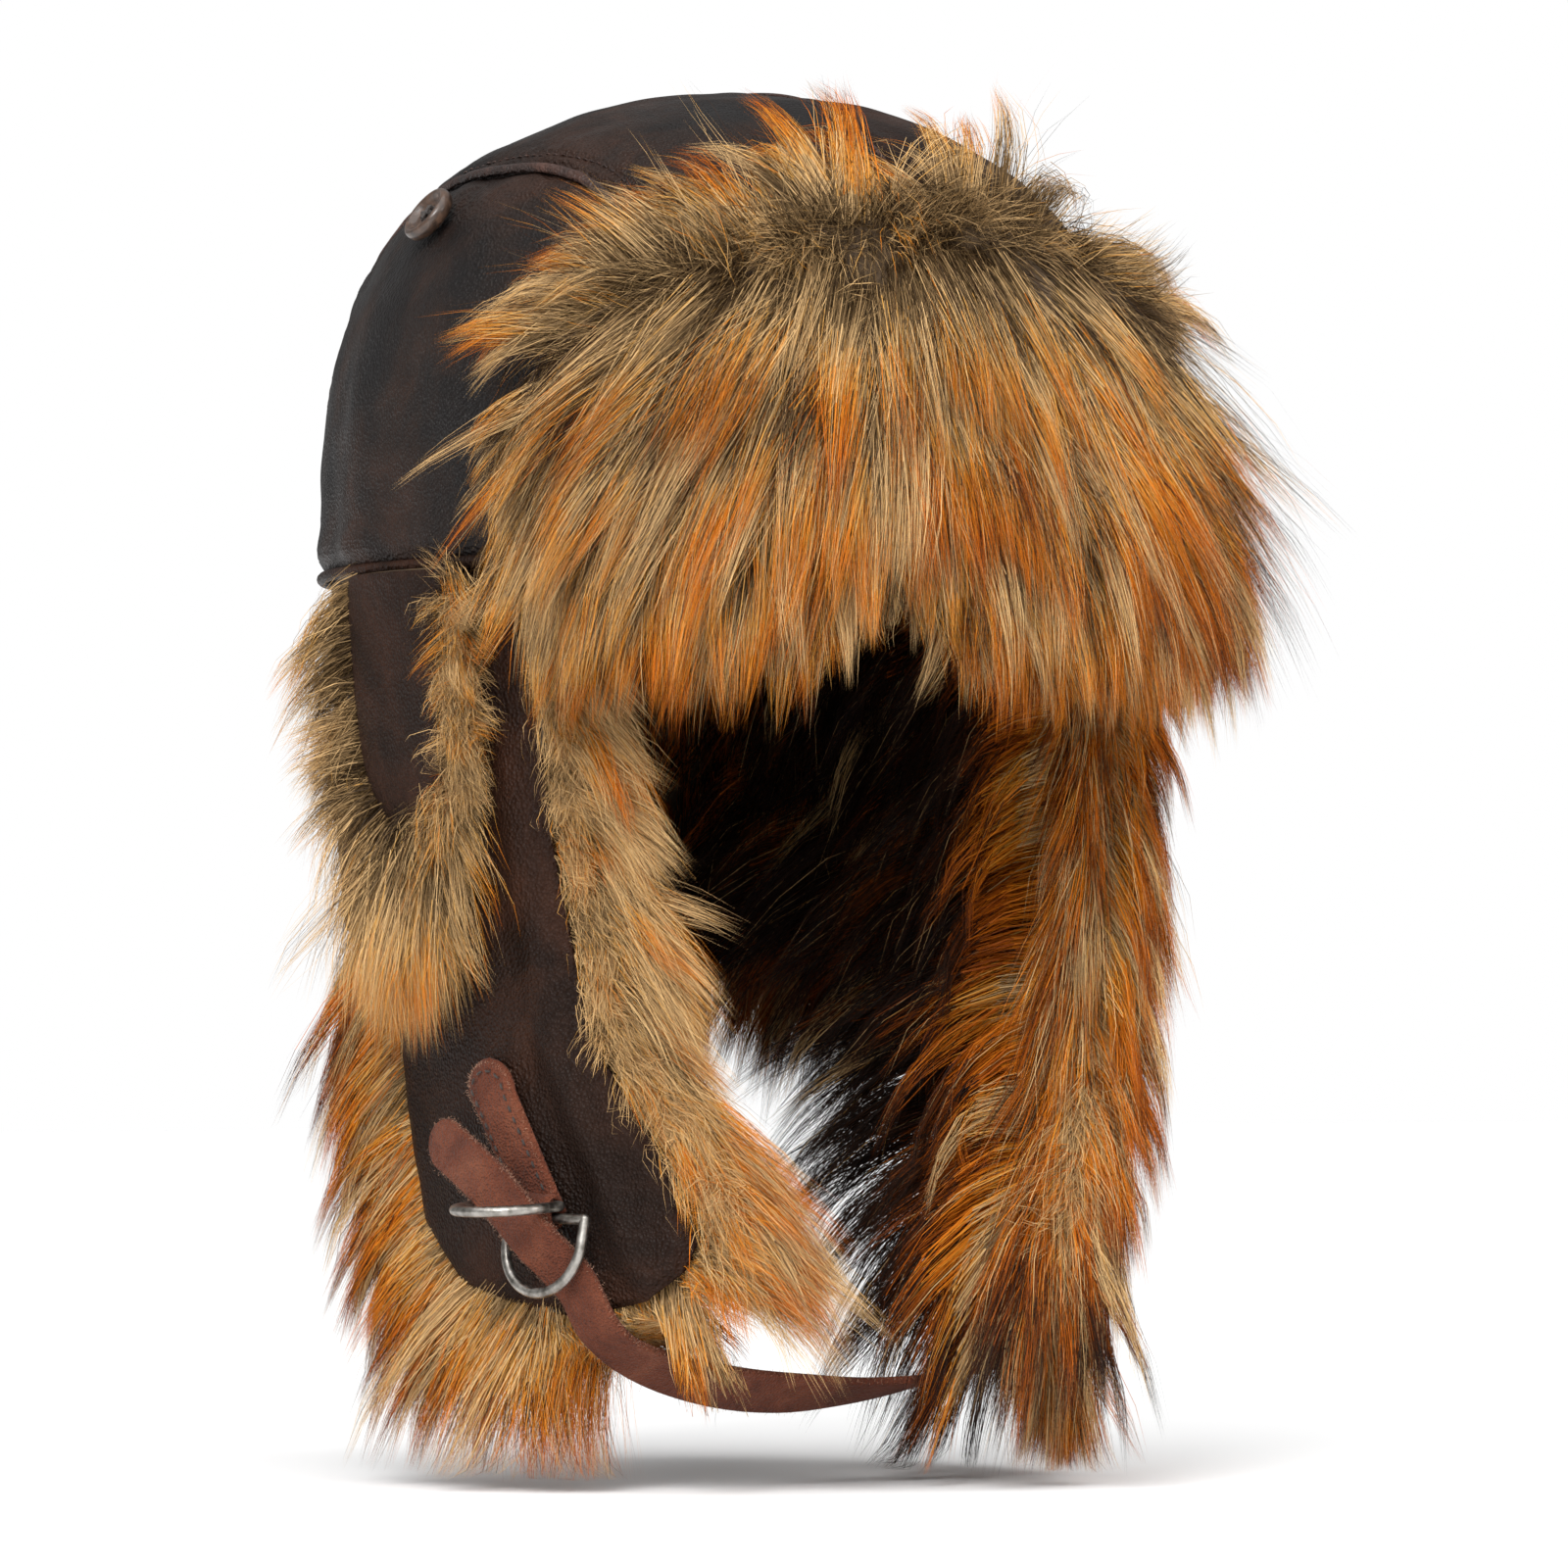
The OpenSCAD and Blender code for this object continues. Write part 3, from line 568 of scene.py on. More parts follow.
WELT_R = 1.25
q = np.linspace(0.6, 179.4, 260)
p = crown_side(*arch_yz(q))
n = crown_normal(p)
welt = tube("arch_welt_fine_right", p + (0.1 + 0.12 * waves(p, 9, 21))[:, None] * n, n,
            round_shape(WELT_R * 1.15, WELT_R * 0.85, 12), SEAM)
for piece, side in with_mirror(welt):
    stand_for(piece, f"arch_welt_{side}", "shell_leather", "crown")
ry, rz = ridge_yz(q)
p = vec(0 * ry, ry, rz)
ridge = tube("centre_welt_fine", p - 0.35 * crown_normal(p), crown_normal(p), round_shape(0.7, 0.8, 10), SEAM)
stand_for(ridge, "centre_welt", "shell_leather", "crown")

# Topstitching on the top panels' side of the arches, 3.2 mm a stitch
places = []
arc_y, arc_z = arch_yz(np.linspace(1, 179, 4000), -3.5)
line = crown_side(arc_y, arc_z)
run = run_along(line)
for at in np.arange(4, run[-1] - 4, 3.2):
    k = int(np.searchsorted(run, at))
    n = crown_normal(line[k])
    for side in (1, -1):
        flip = np.array([side, 1, 1])
        height = float(crown_relief(line[k][None])[0]) + 0.1
        places.append(((line[k] + height * n) * flip, (line[k + 8] - line[k]) * flip, n * flip))
piece = stitches("topstitch_fine", places, 2.4, 0.24, SEAM)
stand_for(piece, "crown_topstitch", "thread", "crown")

# The rolled lower edge
angles = np.linspace(0, 360, 361)[:-1]
rim = crown_at(angles, 0 * angles)
rim_n = crown_normal(rim)
rim = rim - vec(0, 0, 1.8) - (0.5 + 0.15 * waves(rim, 25, 31))[:, None] * rim_n
piece = tube("edge_binding_fine", rim, rim_n, round_shape(1.5, 1.45, 12), SHELL_WARM, closed=True)
stand_for(piece, "edge_binding", "shell_leather", "crown")


# Lining, quilted in diamonds, and the sweatband with its turned hem
def dome(name, depth, thick, relief, nu, nv, material):
    angle = np.linspace(0, 360, nu, endpoint=False)
    rise = np.linspace(0, 89.6, nv)
    a, r = np.meshgrid(angle, rise)
    p = crown_at(a, HEIGHT * np.sin(np.radians(r)) ** (2 / TOP_POWER))
    n = crown_normal(p)
    inner = p - (depth + thick - relief(a, p))[..., None] * n
    outer = p - depth * n
    points = np.vstack([outer.reshape(-1, 3), inner.reshape(-1, 3)])
    outside, within = ([ring(j, nu, start) for j in range(nv)] for start in (0, nu * nv))
    faces = [outside[-1][::-1], within[-1]] + between(within[0], outside[0])
    for j in range(nv - 1):
        faces += between(outside[j], outside[j + 1]) + between(within[j + 1], within[j])
    return make_object(name, points, faces, material)


def quilt(a, p):
    u = (a / 360 * 600) / 28
    v = np.arcsin(np.clip(p[..., 2] / HEIGHT, 0, 1)) * 120 / 28
    cell = np.abs(np.sin(np.pi * (u + v) / 2 * 1.0)) * np.abs(np.sin(np.pi * (u - v) / 2 * 1.0))
    return -1.2 * np.sqrt(np.maximum(cell, 0)) * smooth(112, 96, p[..., 2])


piece = dome("lining_fine", LEATHER + GAP + WADDING + GAP, 1.6, quilt, 240, 70, LINING)
stand_for(piece, "quilted_lining", "lining", "crown")

# The sweatband's cross-section, as depth inside the crown's surface and height
d = LEATHER + GAP + WADDING + GAP + LINING_T + GAP
profile = [(2.3, -0.15), (d - 1, -0.15), (d + 0.4, 0.5), (d + 1.1, 2), (d + 1.2, 31),
           (d + 0.6, 32), (d, 31.5), (d, 2.2), (d - 0.6, 0.9), (2.3, 0.35)]
a = np.linspace(0, 360, 240, endpoint=False)
points = []
for depth, z in profile:
    base = crown_at(a, np.full_like(a, max(z, 0)))
    n = crown_normal(base) * [1, 1, 0]
    points.append(base * [1, 1, 0] + vec(0 * a, 0 * a, z) - depth * unit(n))
rings = [ring(j, len(a)) for j in range(len(profile))]
faces = [quad for low, high in zip(rings, rings[1:] + rings[:1]) for quad in between(high, low)]
piece = make_object("sweatband_fine", np.vstack(points), faces, BAND)
stand_for(piece, "sweatband", "sweatband", "crown")


# ---- buttons ----
def lathe(name, profile, origin, x, y, z, sides, material):
    a = np.linspace(0, 2 * math.pi, sides, endpoint=False)
    rows = []
    for r, h in profile:
        rows.append(origin + r * np.cos(a)[:, None] * x + r * np.sin(a)[:, None] * y + h * z)
    rings = [ring(j, sides) for j in range(len(profile))]
    faces = [rings[0][::-1], rings[-1]]
    for low, high in zip(rings, rings[1:]):
        faces += between(high, low)
    return make_object(name, np.vstack(rows), faces, material)


button_p = crown_at(np.array(90.0), np.array(BUTTON_Z))
button_n = crown_normal(button_p)
button_x = np.array([0.0, 1.0, 0.0])
button_y = np.cross(button_n, button_x)
button_o = button_p + 1.2 * button_n
r = BUTTON_D / 2
curve = [(r - 2.2, 0.05), (r - 1.1, 0.35), (r - 0.35, 1.1), (r, 2.1), (r, 3.0), (r - 0.25, 3.75),
         (r - 0.8, 4.2), (r - 1.4, 4.15), (r - 2.0, 3.6), (r - 2.7, 2.85), (r - 3.6, 2.45),
         (1.0, 2.3), (0.05, 2.3)]
button = lathe("button_fine_right", spline(curve, 4), button_o, button_x, button_y, button_n, 72, HORN)
for turn in range(4):
    a = math.radians(90 * turn)
    c = button_o + 1.9 * (math.cos(a) * button_x + math.sin(a) * button_y)
    cutter = lathe("cut", [(0.9, -1), (0.9, 6)], c, button_x, button_y, button_n, 20, HORN)
    cut = button.modifiers.new("hole", "BOOLEAN")
    cut.operation, cut.object = "DIFFERENCE", cutter
    bpy.context.view_layer.objects.active = button
    bpy.ops.object.modifier_apply(modifier="hole")
    bpy.data.objects.remove(cutter)
for piece, side in with_mirror(button):
    stand_for(piece, f"button_{side}", "horn", "crown")


# ---- leather of the visor, flaps and ear covers ----
def visor_sheet(s, t, k):
    angle = VISOR_REACH * (1 - 2 * s)
    p, n, _, _ = visor_frame(angle, visor_top(angle) * t)
    return p + (VISOR_LIFT + LEATHER * (1 - k) + 0.4 * waves(p, 30, 41))[..., None] * n


def flap_z(t):
    return -0.5 - (DROP - 0.5) * t


def flap_edges(z):
    return np.interp(z, FRONT_Z, FRONT_A), np.interp(z, REAR_Z, REAR_A)


def soft_folds(p):
    return 0.6 * waves(p * [1, 1, 0.5], 38, 51) + 0.2 * waves(p, 14, 52)


def flap_sheet(s, t, k):
    """The ear flap's leather, padded, with its edges drawn in and a soft ridge from temple to chin."""
    z = flap_z(t)
    front, rear = flap_edges(z)
    angle = lerp(front, rear, s)
    p, n, _, _ = skirt_frame(angle, z)
    width = (rear - front) * MM_PER_DEGREE
    edge = np.minimum(s, 1 - s) * width
    edge = np.where(z < -150, np.minimum(edge, z + DROP), edge)
    ridge_a = np.interp(z, [-184, -172, -120, -60, 0], [46, 50, 61, 65, 70])
    h = soft_folds(p)
    h += 1.3 * np.exp(-(((angle - ridge_a) / 2.2) ** 2)) * smooth(-20, -70, z)
    h -= 0.8 * np.exp(-(((angle - ridge_a - 4.5) / 2.4) ** 2)) * smooth(-20, -70, z)
    h -= 1.3 * np.exp(-((edge / 2.6) ** 2))
    h *= smooth(0, -12, z)
    return p + (h - k * LEATHER)[..., None] * n


def neck_sheet(s, t, k):
    angle = lerp(SPLIT + 0.1, 360 - SPLIT - 0.1, s)
    z = -0.5 - (NECK_DROP - 0.5) * t
    p, n, _, _ = skirt_frame(angle, z)
    h = soft_folds(p) * smooth(0, -12, z)
    h -= 1.1 * np.exp(-(((z + NECK_DROP) / 2.6) ** 2))
    return p + (h - k * LEATHER)[..., None] * n


def cover_place(s, t):
    f = np.sin(np.pi / 2 * t)
    half = cover_half(f)
    angle = COVER_MID - COVER_LEAN * f + half * (2 * s - 1)
    return angle, lerp(COVER_TOP, -COVER_DROP, f)


def cover_sheet(s, t, k):
    angle, z = cover_place(s, t)
    p, n, _, _ = skirt_frame(angle, z)
    f = np.sin(np.pi / 2 * t)
    edge = np.minimum(np.minimum(s, 1 - s) * 2 * cover_half(f) * MM_PER_DEGREE, (z + COVER_DROP) * 1.2)
    h = 0.5 * waves(p, 24, 61) * smooth(0, 8, edge) - 1.0 * np.exp(-((edge / 2.4) ** 2))
    h += 1.0 * smooth(0, 1, np.minimum(edge / 10, 1))
    lift = COVER_H * smooth(-0.5, 0.16, f)
    return p + (lift + h + LEATHER * (1 - k))[..., None] * n


def fold(piece):
    """Bakes a piece's world transform into its mesh."""
    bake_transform(piece)


piece = shell("visor_leather_fine", 120, 40, visor_sheet, SHELL_WARM)
stand_for(piece, "visor_leather", "shell_leather", "visor")
for piece, side in with_mirror(shell("flap_leather_fine_right", 90, 180, flap_sheet, SHELL_WARM)):
    stand_for(piece, f"ear_flap_leather_{side}", "shell_leather")
    fold(piece)
piece = shell("neck_leather_fine", 130, 60, neck_sheet, SHELL)
stand_for(piece, "neck_flap_leather", "shell_leather")
fold(piece)
for piece, side in with_mirror(shell("cover_leather_fine_right", 60, 70, cover_sheet, SHELL_WARM)):
    stand_for(piece, f"ear_cover_leather_{side}", "shell_leather", f"{side}_ear_cover")


# ---- buckle tab, strap, anchor ----
tab_o, tab_n, _, _ = skirt_frame(np.array(TAB_ANGLE), np.array(TAB_Z))
tab_x = unit(np.cross([0, 0, 1], tab_n))
tab_y = np.cross(tab_n, tab_x)
EYE_Y, EYE_H, EYE_R, BAR_GAP, TAB_LEAN = -18.0, 3.9, 1.6, 3.1, 14.0


def on_tab(p):
    p = np.asarray(p, float)
    return tab_o + p[..., :1] * tab_x + p[..., 1:2] * tab_y + p[..., 2:] * tab_n


TONGUE_T, TONGUE_LIFT, SEAM_LIFT = 2.4, 0.5, 2.95


def tongue(name, y0, length, lean, width, x0=0.0, follow=True):
    """A strap end with one round end at the top, lying on the flap's leather."""
    def at(s, t, k):
        round_part = width / 2 / length
        tt = np.sin(np.pi / 2 * t)
        y = tt * length
        over = np.clip((tt - (1 - round_part)) / round_part, 0, 0.9995)
        half = width / 2 * np.sqrt(1 - over**2)
        f = np.clip(y / (length - width / 2), 0, 1)
        x = x0 + (2 * s - 1) * half - lean * np.minimum(f, 1)
        crown = 0.35 * (1 - (2 * s - 1) ** 4) + 0.1 * waves(vec(x, y, 0 * x), 9, 71)
        sag = -0.0016 * x**2 if follow else 0 * x
        return on_tab(vec(x, y0 + y, TONGUE_LIFT + sag + (TONGUE_T - 0.3 + crown) * (1 - k)))
    return shell(name, 26, 60, at, TAN)


tab = tongue("buckle_tab_plate", EYE_Y, TAB_LEN, TAB_LEAN, TAB_W)
# The folded eye that both bars turn in
EYE_ROWS, EYE_SIDES, EYE_WALL = 15, 40, 1.3
a = 2 * math.pi * np.arange(EYE_SIDES) / EYE_SIDES
loop_y, loop_h = np.cos(a), np.sin(a)
apart = np.where([math.cos(v) > 0 for v in a], BAR_GAP / 2, -BAR_GAP / 2)
points = []
for x in np.linspace(-TAB_W / 2, TAB_W / 2, EYE_ROWS):
    bulge = 0.12 * math.cos(x * 1.1)
    worn = 0.35 if abs(x) > TAB_W / 2 - 0.1 else 0.0
    for r0 in (EYE_R + EYE_WALL - worn + bulge, EYE_R):
        points.append(on_tab(vec(x, EYE_Y + apart + r0 * loop_y, EYE_H + r0 * loop_h)))
outside, within = ([ring(2 * i + k, EYE_SIDES) for i in range(EYE_ROWS)] for k in (0, 1))
faces = between(within[0], outside[0]) + between(outside[-1], within[-1])
for i in range(EYE_ROWS - 1):
    faces += between(outside[i], outside[i + 1]) + between(within[i + 1], within[i])
eye = make_object("buckle_tab_eye", points, faces, TAN)
tab = joined("buckle_tab_fine", [tab, eye])
stand_for(tab, "buckle_tab", "strap_leather", "right_flap")


def tab_seam(name, y0, length, lean, width, x0=0.0):
    """Stitches near the edge of a tongue."""
    inset, step = 1.9, 3.0
    half = width / 2 - inset
    route = []
    for y in np.arange(5, length - width / 2, 0.1):
        route.append((half, y))
    for a in np.linspace(0, math.pi, 200):
        route.append((half * math.cos(a), length - width / 2 + half * math.sin(a)))
    for y in np.arange(length - width / 2, 5, -0.1):
        route.append((-half, y))
    route = np.array(route)
    f = np.clip(route[:, 1] / (length - width / 2), 0, 1)
    height = SEAM_LIFT - 0.0016 * route[:, 0] ** 2
    path = on_tab(np.stack([x0 + route[:, 0] - lean * f, y0 + route[:, 1], height], 1))
    run = run_along(path)
    spots = []
    for at in np.arange(1, run[-1] - 1, step):
        k = min(int(np.searchsorted(run, at)), len(path) - 6)
        spots.append((path[k], path[k + 5] - path[k], tab_n))
    return stitches(name, spots, 1.9, 0.3, THREAD)


piece = tab_seam("tab_stitches_fine", EYE_Y, TAB_LEN, TAB_LEAN, TAB_W)
stand_for(piece, "buckle_tab_stitching", "thread", "right_flap")
# The anchor is made on the right flap and moved to the left one
for name, cad, slot, piece in (
        ("strap_anchor_fine", "strap_anchor", "strap_leather",
         tongue("anchor", ANCHOR_Y, ANCHOR_LEN, ANCHOR_LEAN, TAB_W, x0=ANCHOR_X, follow=False)),
        ("anchor_stitches_fine", "strap_anchor_stitching", "thread",
         tab_seam("anchor_seam", ANCHOR_Y, ANCHOR_LEN, ANCHOR_LEAN, TAB_W, x0=ANCHOR_X))):
    stand_for(mirror_points(piece, name), cad, slot, "left_flap")
    bpy.data.objects.remove(piece)

on_flap = [(-26, -1.6, 6.2), (-20, -4.8, 7.3), (-13.5, -8.6, 8.5), (-8.2, -12.7, 8.8),
           (-4, -16.5, 8.8), (-0.2, -20.4, 8.8), (3.4, -25, 7.7), (7.2, -30, 5.2), (12, -36, 3.6)]
under_chin = [((-67, -62.5, -187.6), (-0.85, -0.4, -0.3)), ((-58, -60.5, -194), (-0.78, -0.5, -0.38)),
              ((-44, -57, -199), (-0.6, -0.65, -0.46)), ((-26, -53, -202.8), (-0.38, -0.74, -0.55)),
              ((-8, -49.5, -204.5), (-0.18, -0.7, -0.7)), ((10, -47.5, -204.5), (0, -0.45, -0.89)),
              ((28, -48, -202.5), (0.2, -0.2, -0.96)), ((45, -49.5, -198.5), (0.35, 0, -0.93)),
              ((58, -51, -194), (0.5, 0, -0.87))]
route = [np.concatenate([on_tab(np.array(p)), tab_n]) for p in on_flap]
route += [np.concatenate([p, n]) for p, n in under_chin]
path = spline(route, 10)
centre, normal = path[:, :3], path[:, 3:]
first = centre[0] - centre[1]
tip_steps = 9
# The rounded tip: how far each step stands out, as a part of the tip's length
out = np.array([math.sin(math.radians(90 * (tip_steps - i) / tip_steps)) for i in range(tip_steps)])
centre = np.vstack([centre[0] + unit(first) * (STRAP_W * 0.42) * out[:, None], centre])
normal = np.vstack([np.repeat(normal[:1], tip_steps, 0), normal])
width = np.ones(len(centre))
width[:tip_steps] = np.sqrt(np.maximum(0.02, 1 - out**2))
section = strap_shape(STRAP_W, STRAP_T)
shapes = section[None] * np.stack([width, np.ones_like(width)], 1)[:, None]
strap = tube("chin_strap_fine", centre, normal, shapes, TAN)
stand_for(strap, "chin_strap", "strap_leather", "right_flap")


def fuzz(name, body, lines, seed, count, material):
    """Fine fibres along cut leather edges. lines: (points, outward, normal)."""
    rng = np.random.default_rng(seed)
    roots, outs, ups = (np.vstack(x) for x in zip(*lines, strict=True))
    pick = rng.integers(0, len(roots), count)
    root = roots[pick] + rng.normal(0, 0.25, (count, 3)) + rng.uniform(-1.0, 1.0, (count, 1)) * ups[pick]
    aim = unit(outs[pick] + rng.normal(0, 0.55, (count, 3)))
    length = rng.uniform(0.25, 0.8, count)[:, None]
    side = unit(np.cross(aim, rng.normal(size=(count, 3)))) * 0.05
    tip = root + aim * length + rng.normal(0, 0.12, (count, 3))
    points = np.stack([root - side, root + side, tip], 1).reshape(-1, 3)
    faces = np.arange(count * 3).reshape(-1, 3).tolist()
    ob = make_object(name, points, faces, material)
    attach(ob, body)
    return ob


FIBRE, _, fibre_shader = new_material("cut_edge_fibres")
put(fibre_shader, {"Base Color": (0.36, 0.2, 0.13, 1), "Roughness": 0.8})
along = unit(np.gradient(centre, axis=0))
up = unit(normal - np.sum(normal * along, 1, keepdims=True) * along)
across = np.cross(along, up)
half = (width * STRAP_W / 2)[:, None]
edge_lines = [(centre + side * half * across, side * across, up) for side in (1, -1)]
a = np.linspace(0, math.pi, 60)
rim_points = on_tab(np.stack([7 * np.cos(a) - TAB_LEAN, EYE_Y + 29 + 7 * np.sin(a), np.full(60, 1.8)], 1))
edge_lines.append((rim_points, unit(np.cos(a)[:, None] * tab_x + np.sin(a)[:, None] * tab_y),
                   np.repeat(tab_n[None], 60, 0)))
for side in (1, -1):
    y = np.linspace(0, 29, 60)
    edge_lines.append((on_tab(np.stack([side * 7 - TAB_LEAN * y / 29, EYE_Y + y, np.full(60, 1.8)], 1)),
                       np.repeat(side * tab_x[None], 60, 0), np.repeat(tab_n[None], 60, 0)))
fuzz("strap_edge_fibres", "right_flap", edge_lines, 5, 6000, FIBRE)

# ---- CAD nodes that are shown as they are ----
for names, material in ((("upper_d_ring", "lower_d_ring"), METAL),
                        (("button_thread_right", "button_thread_left"), THREAD),
                        (("flap_loop_right", "flap_loop_left",
                          "ear_cover_loop_right", "ear_cover_loop_left"), ELASTIC),
                        (("crown_wadding", "visor_interlining", "ear_flap_interlining_right",
                          "ear_flap_interlining_left", "neck_flap_interlining"), FELT_MAT)):
    for name in names:
        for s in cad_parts[name].material_slots:
            s.link = "OBJECT"
            s.material = material


# ---- fur ----
LOW = np.array([-123.0, -160.0, -224.5])
HIGH = np.array([123.0, 134.0, 136.0])
# How far along a hair, in millimetres, each colour of the palette comes; the dark ones near the root are
# partly painted shade between the locks
COLOUR_AT = np.array([0, 4, 9, 14, 19, 25, 30, 35, 44, 58, 70, 79, 87, 95.0])


class Coat:
    """Fur of one area: locks of tapered ribbons that bend from their first direction to their last.

    place(rng, n) gives n roots as (angle, z); frame_of(angle, z) gives their point and directions.
    lie(angle, z) gives the first and last direction as (to the rear, up, outward, down) parts, the length,
    and how many millimetres of hair the colours run ahead by.
    """

    def __init__(self, name, place, frame_of, lie, height, locks, per_lock, seed, radius=3.4, gather=0.86,
                 width=0.23, segments=4, wave=1.0, mess=0.11, loose=0.05, tips=0.16, pale=0.2, keep=None):
        rng = np.random.default_rng(seed)
        self.name, self.segments = name, segments
        a, z = place(rng, locks)
        part0, part1, length, ahead = lie(a, z)
        length = length * rng.uniform(0.8, 1.1, locks)
        lock_mess = rng.normal(0, mess, (locks, 3))
        p, n, e_a, e_z = frame_of(a, z)
        lead_root = p + np.broadcast_to(height(a, z), a.shape)[:, None] * n
        lead0 = unit(self.mixed(part0, e_a, e_z, n) + lock_mess * 0.6)
        lead1 = unit(self.mixed(part1, e_a, e_z, n) + lock_mess)

        k = per_lock
        aa = a[:, None] + rng.normal(0, radius * 0.52, (locks, k))
        zz = z[:, None] + rng.normal(0, radius, (locks, k))
        ps, ns, ea, ez = frame_of(aa, zz)
        root = ps + np.broadcast_to(height(aa, zz), aa.shape)[..., None] * ns
        own_mess = rng.normal(0, loose, (locks, k, 3))
        part0, part1, _, _ = lie(aa, zz)
        own0 = unit(self.mixed(part0, ea, ez, ns) + lock_mess[:, None] * 0.6 + own_mess)
        own1 = unit(self.mixed(part1, ea, ez, ns) + lock_mess[:, None] + own_mess)
        grow = rng.uniform(0.74, 1.06, (locks, k))
        grow = np.where(rng.random((locks, k)) < 0.2, grow * rng.uniform(0.35, 0.8, (locks, k)), grow)
        t = np.linspace(0, 1, segments + 1)
        tau = (grow[..., None] * t)[..., None]
        long = length[:, None, None, None]

        def bent(start, first, last):
            first, last = first[..., None, :], last[..., None, :]
            return start[..., None, :] + long * (first * (tau - tau**2 / 2) + last * tau**2 / 2)

        own = bent(root, own0, own1)
        lead = bent(lead_root[:, None], lead0[:, None], lead1[:, None])
        pull = gather * rng.uniform(0.75, 1.08, (locks, 1)) * rng.uniform(0.8, 1.05, (locks, k))
        w = (np.clip(pull, 0, 0.97)[..., None] * t**1.15)[..., None]
        spot = rng.normal(0, 0.6, (locks, k, 1, 3)) * t[:, None]
        pts = own * (1 - w) + (lead + spot) * w
        turn = unit(rng.normal(size=(locks, 1, 1, 3)))
        phase = rng.uniform(0, 6.28, (locks, 1, 1)) + rng.normal(0, 0.35, (locks, k, 1))
        swing = wave * rng.uniform(0.3, 1.6, (locks, 1, 1)) * t**1.1
        swing = swing * np.sin(phase + t * rng.uniform(3, 7, (locks, 1, 1)))
        pts = pts + swing[..., None] * turn + rng.normal(0, 0.12 * wave, pts.shape) * t[:, None]
        if keep is not None:
            pts = keep(pts)
        pts = np.clip(pts, LOW, HIGH).reshape(-1, segments + 1, 3)
        count = len(pts)
        along = unit(np.gradient(pts, axis=1))
        side = unit(np.cross(along, unit(rng.normal(size=(count, 1, 3)))))
        thick = width * rng.uniform(0.6, 1.25, (count, 1, 1)) * (1 - 0.88 * t**1.5)[:, None]
        self.points = np.concatenate([pts - side * thick / 2, (pts + side * thick / 2)[:, :-1]], 1)

        middle = (t[:-1] + t[1:]) / 2
        ahead = np.broadcast_to(ahead, a.shape) + rng.normal(0, 8, locks)
        ahead = np.repeat(ahead, k) + rng.normal(0, 4, count)
        grown = (length[:, None] * grow).reshape(-1, 1) * middle
        c = np.interp(grown + ahead[:, None], COLOUR_AT, np.arange(len(COLOUR_AT)))
        pale_hair = np.repeat(rng.random(locks) < pale, k) | (rng.random(count) < min(0.1, pale))
        c = np.where(pale_hair[:, None], np.minimum(c, 5.0), c)
        dark_tip = rng.random(count) < tips
        c = np.where(dark_tip[:, None] & (middle > 0.6), 12.4, c)
        self.colour = np.clip(np.rint(c + rng.uniform(-0.6, 0.6, c.shape)), 0, LAST_COLOUR).astype(int)

    @staticmethod
    def mixed(parts, e_a, e_z, n):
        a, z, h, down = (np.asarray(x, float)[..., None] for x in parts)
        return a * e_a + z * e_z + h * n - down * np.array([0.0, 0.0, 1.0])

    def build(self, mirror=False):
        s = self.segments
        per = 2 * s + 1
        n = len(self.points)
        base = (np.arange(n) * per)[:, None]
        i = np.arange(s - 1)
        quads = np.stack([base + i, base + i + 1, base + s + 2 + i, base + s + 1 + i], -1)
        tips = np.stack([base[:, 0] + s - 1, base[:, 0] + s, base[:, 0] + 2 * s], -1)
        loops = np.concatenate([quads.reshape(n, -1), tips], 1).ravel().astype(np.int32)
        sizes = np.tile(np.array([4] * (s - 1) + [3]), n)
        starts = np.concatenate([[0], np.cumsum(sizes)[:-1]])
        co = self.points.reshape(-1, 3) * MM
        if mirror:
            co = co * [-1, 1, 1]
        me = bpy.data.meshes.new(self.name)
        me.vertices.add(len(co))
        me.vertices.foreach_set("co", co.astype(np.float32).ravel())
        me.loops.add(len(loops))
        me.loops.foreach_set("vertex_index", loops)
        me.polygons.add(len(sizes))
        me.polygons.foreach_set("loop_start", starts.astype(np.int32))
        me.polygons.foreach_set("material_index", self.colour.ravel().astype(np.int32))
        me.polygons.foreach_set("use_smooth", np.ones(len(sizes), bool))
        me.update(calc_edges=True)
        for m in FUR_MATS:
            me.materials.append(m)
        ob = add_object(self.name, me)
        return ob


def coats(name, frame_of, rows, seed=0, keep=None, mirror=False):
    """Builds a coat for each row. In name, {} stands for the row's own part of the name."""
    for own, place, lie, height, locks, per_lock, own_seed, look in rows:
        yield Coat(name.format(own), place, frame_of, lie, height, locks, per_lock, seed + own_seed,
                   **{"keep": keep, **look}).build(mirror)


def clear_of_crown(pts):
    """Strands that fall over the crown lie on its leather."""
    gap = 1.8
    for _ in range(2):
        push = np.where(pts[..., 2] > 0, np.maximum(0, gap - off_crown(pts)), 0)
        pts = pts + push[..., None] * crown_normal(pts)
    return pts


def clear_of_flap(pts, gap=1.4):
    """Strands outside a flap lie on its leather."""
    q = (-np.clip(pts[..., 2], -DROP, 0) / DROP) ** 1.7
    a = (HALF_W - SKIRT_INSET) * (1 - CURL * q)
    b = (HALF_L - SKIRT_INSET) * (1 - CURL_Y * q)
    f = np.sqrt((pts[..., 0] / a) ** 2 + (pts[..., 1] / b) ** 2)
    need = 1 + gap / 100
    scale = np.where(f < need, need / np.maximum(f, 0.05), 1)
    return pts * np.stack([scale, scale, np.ones_like(scale)], -1)


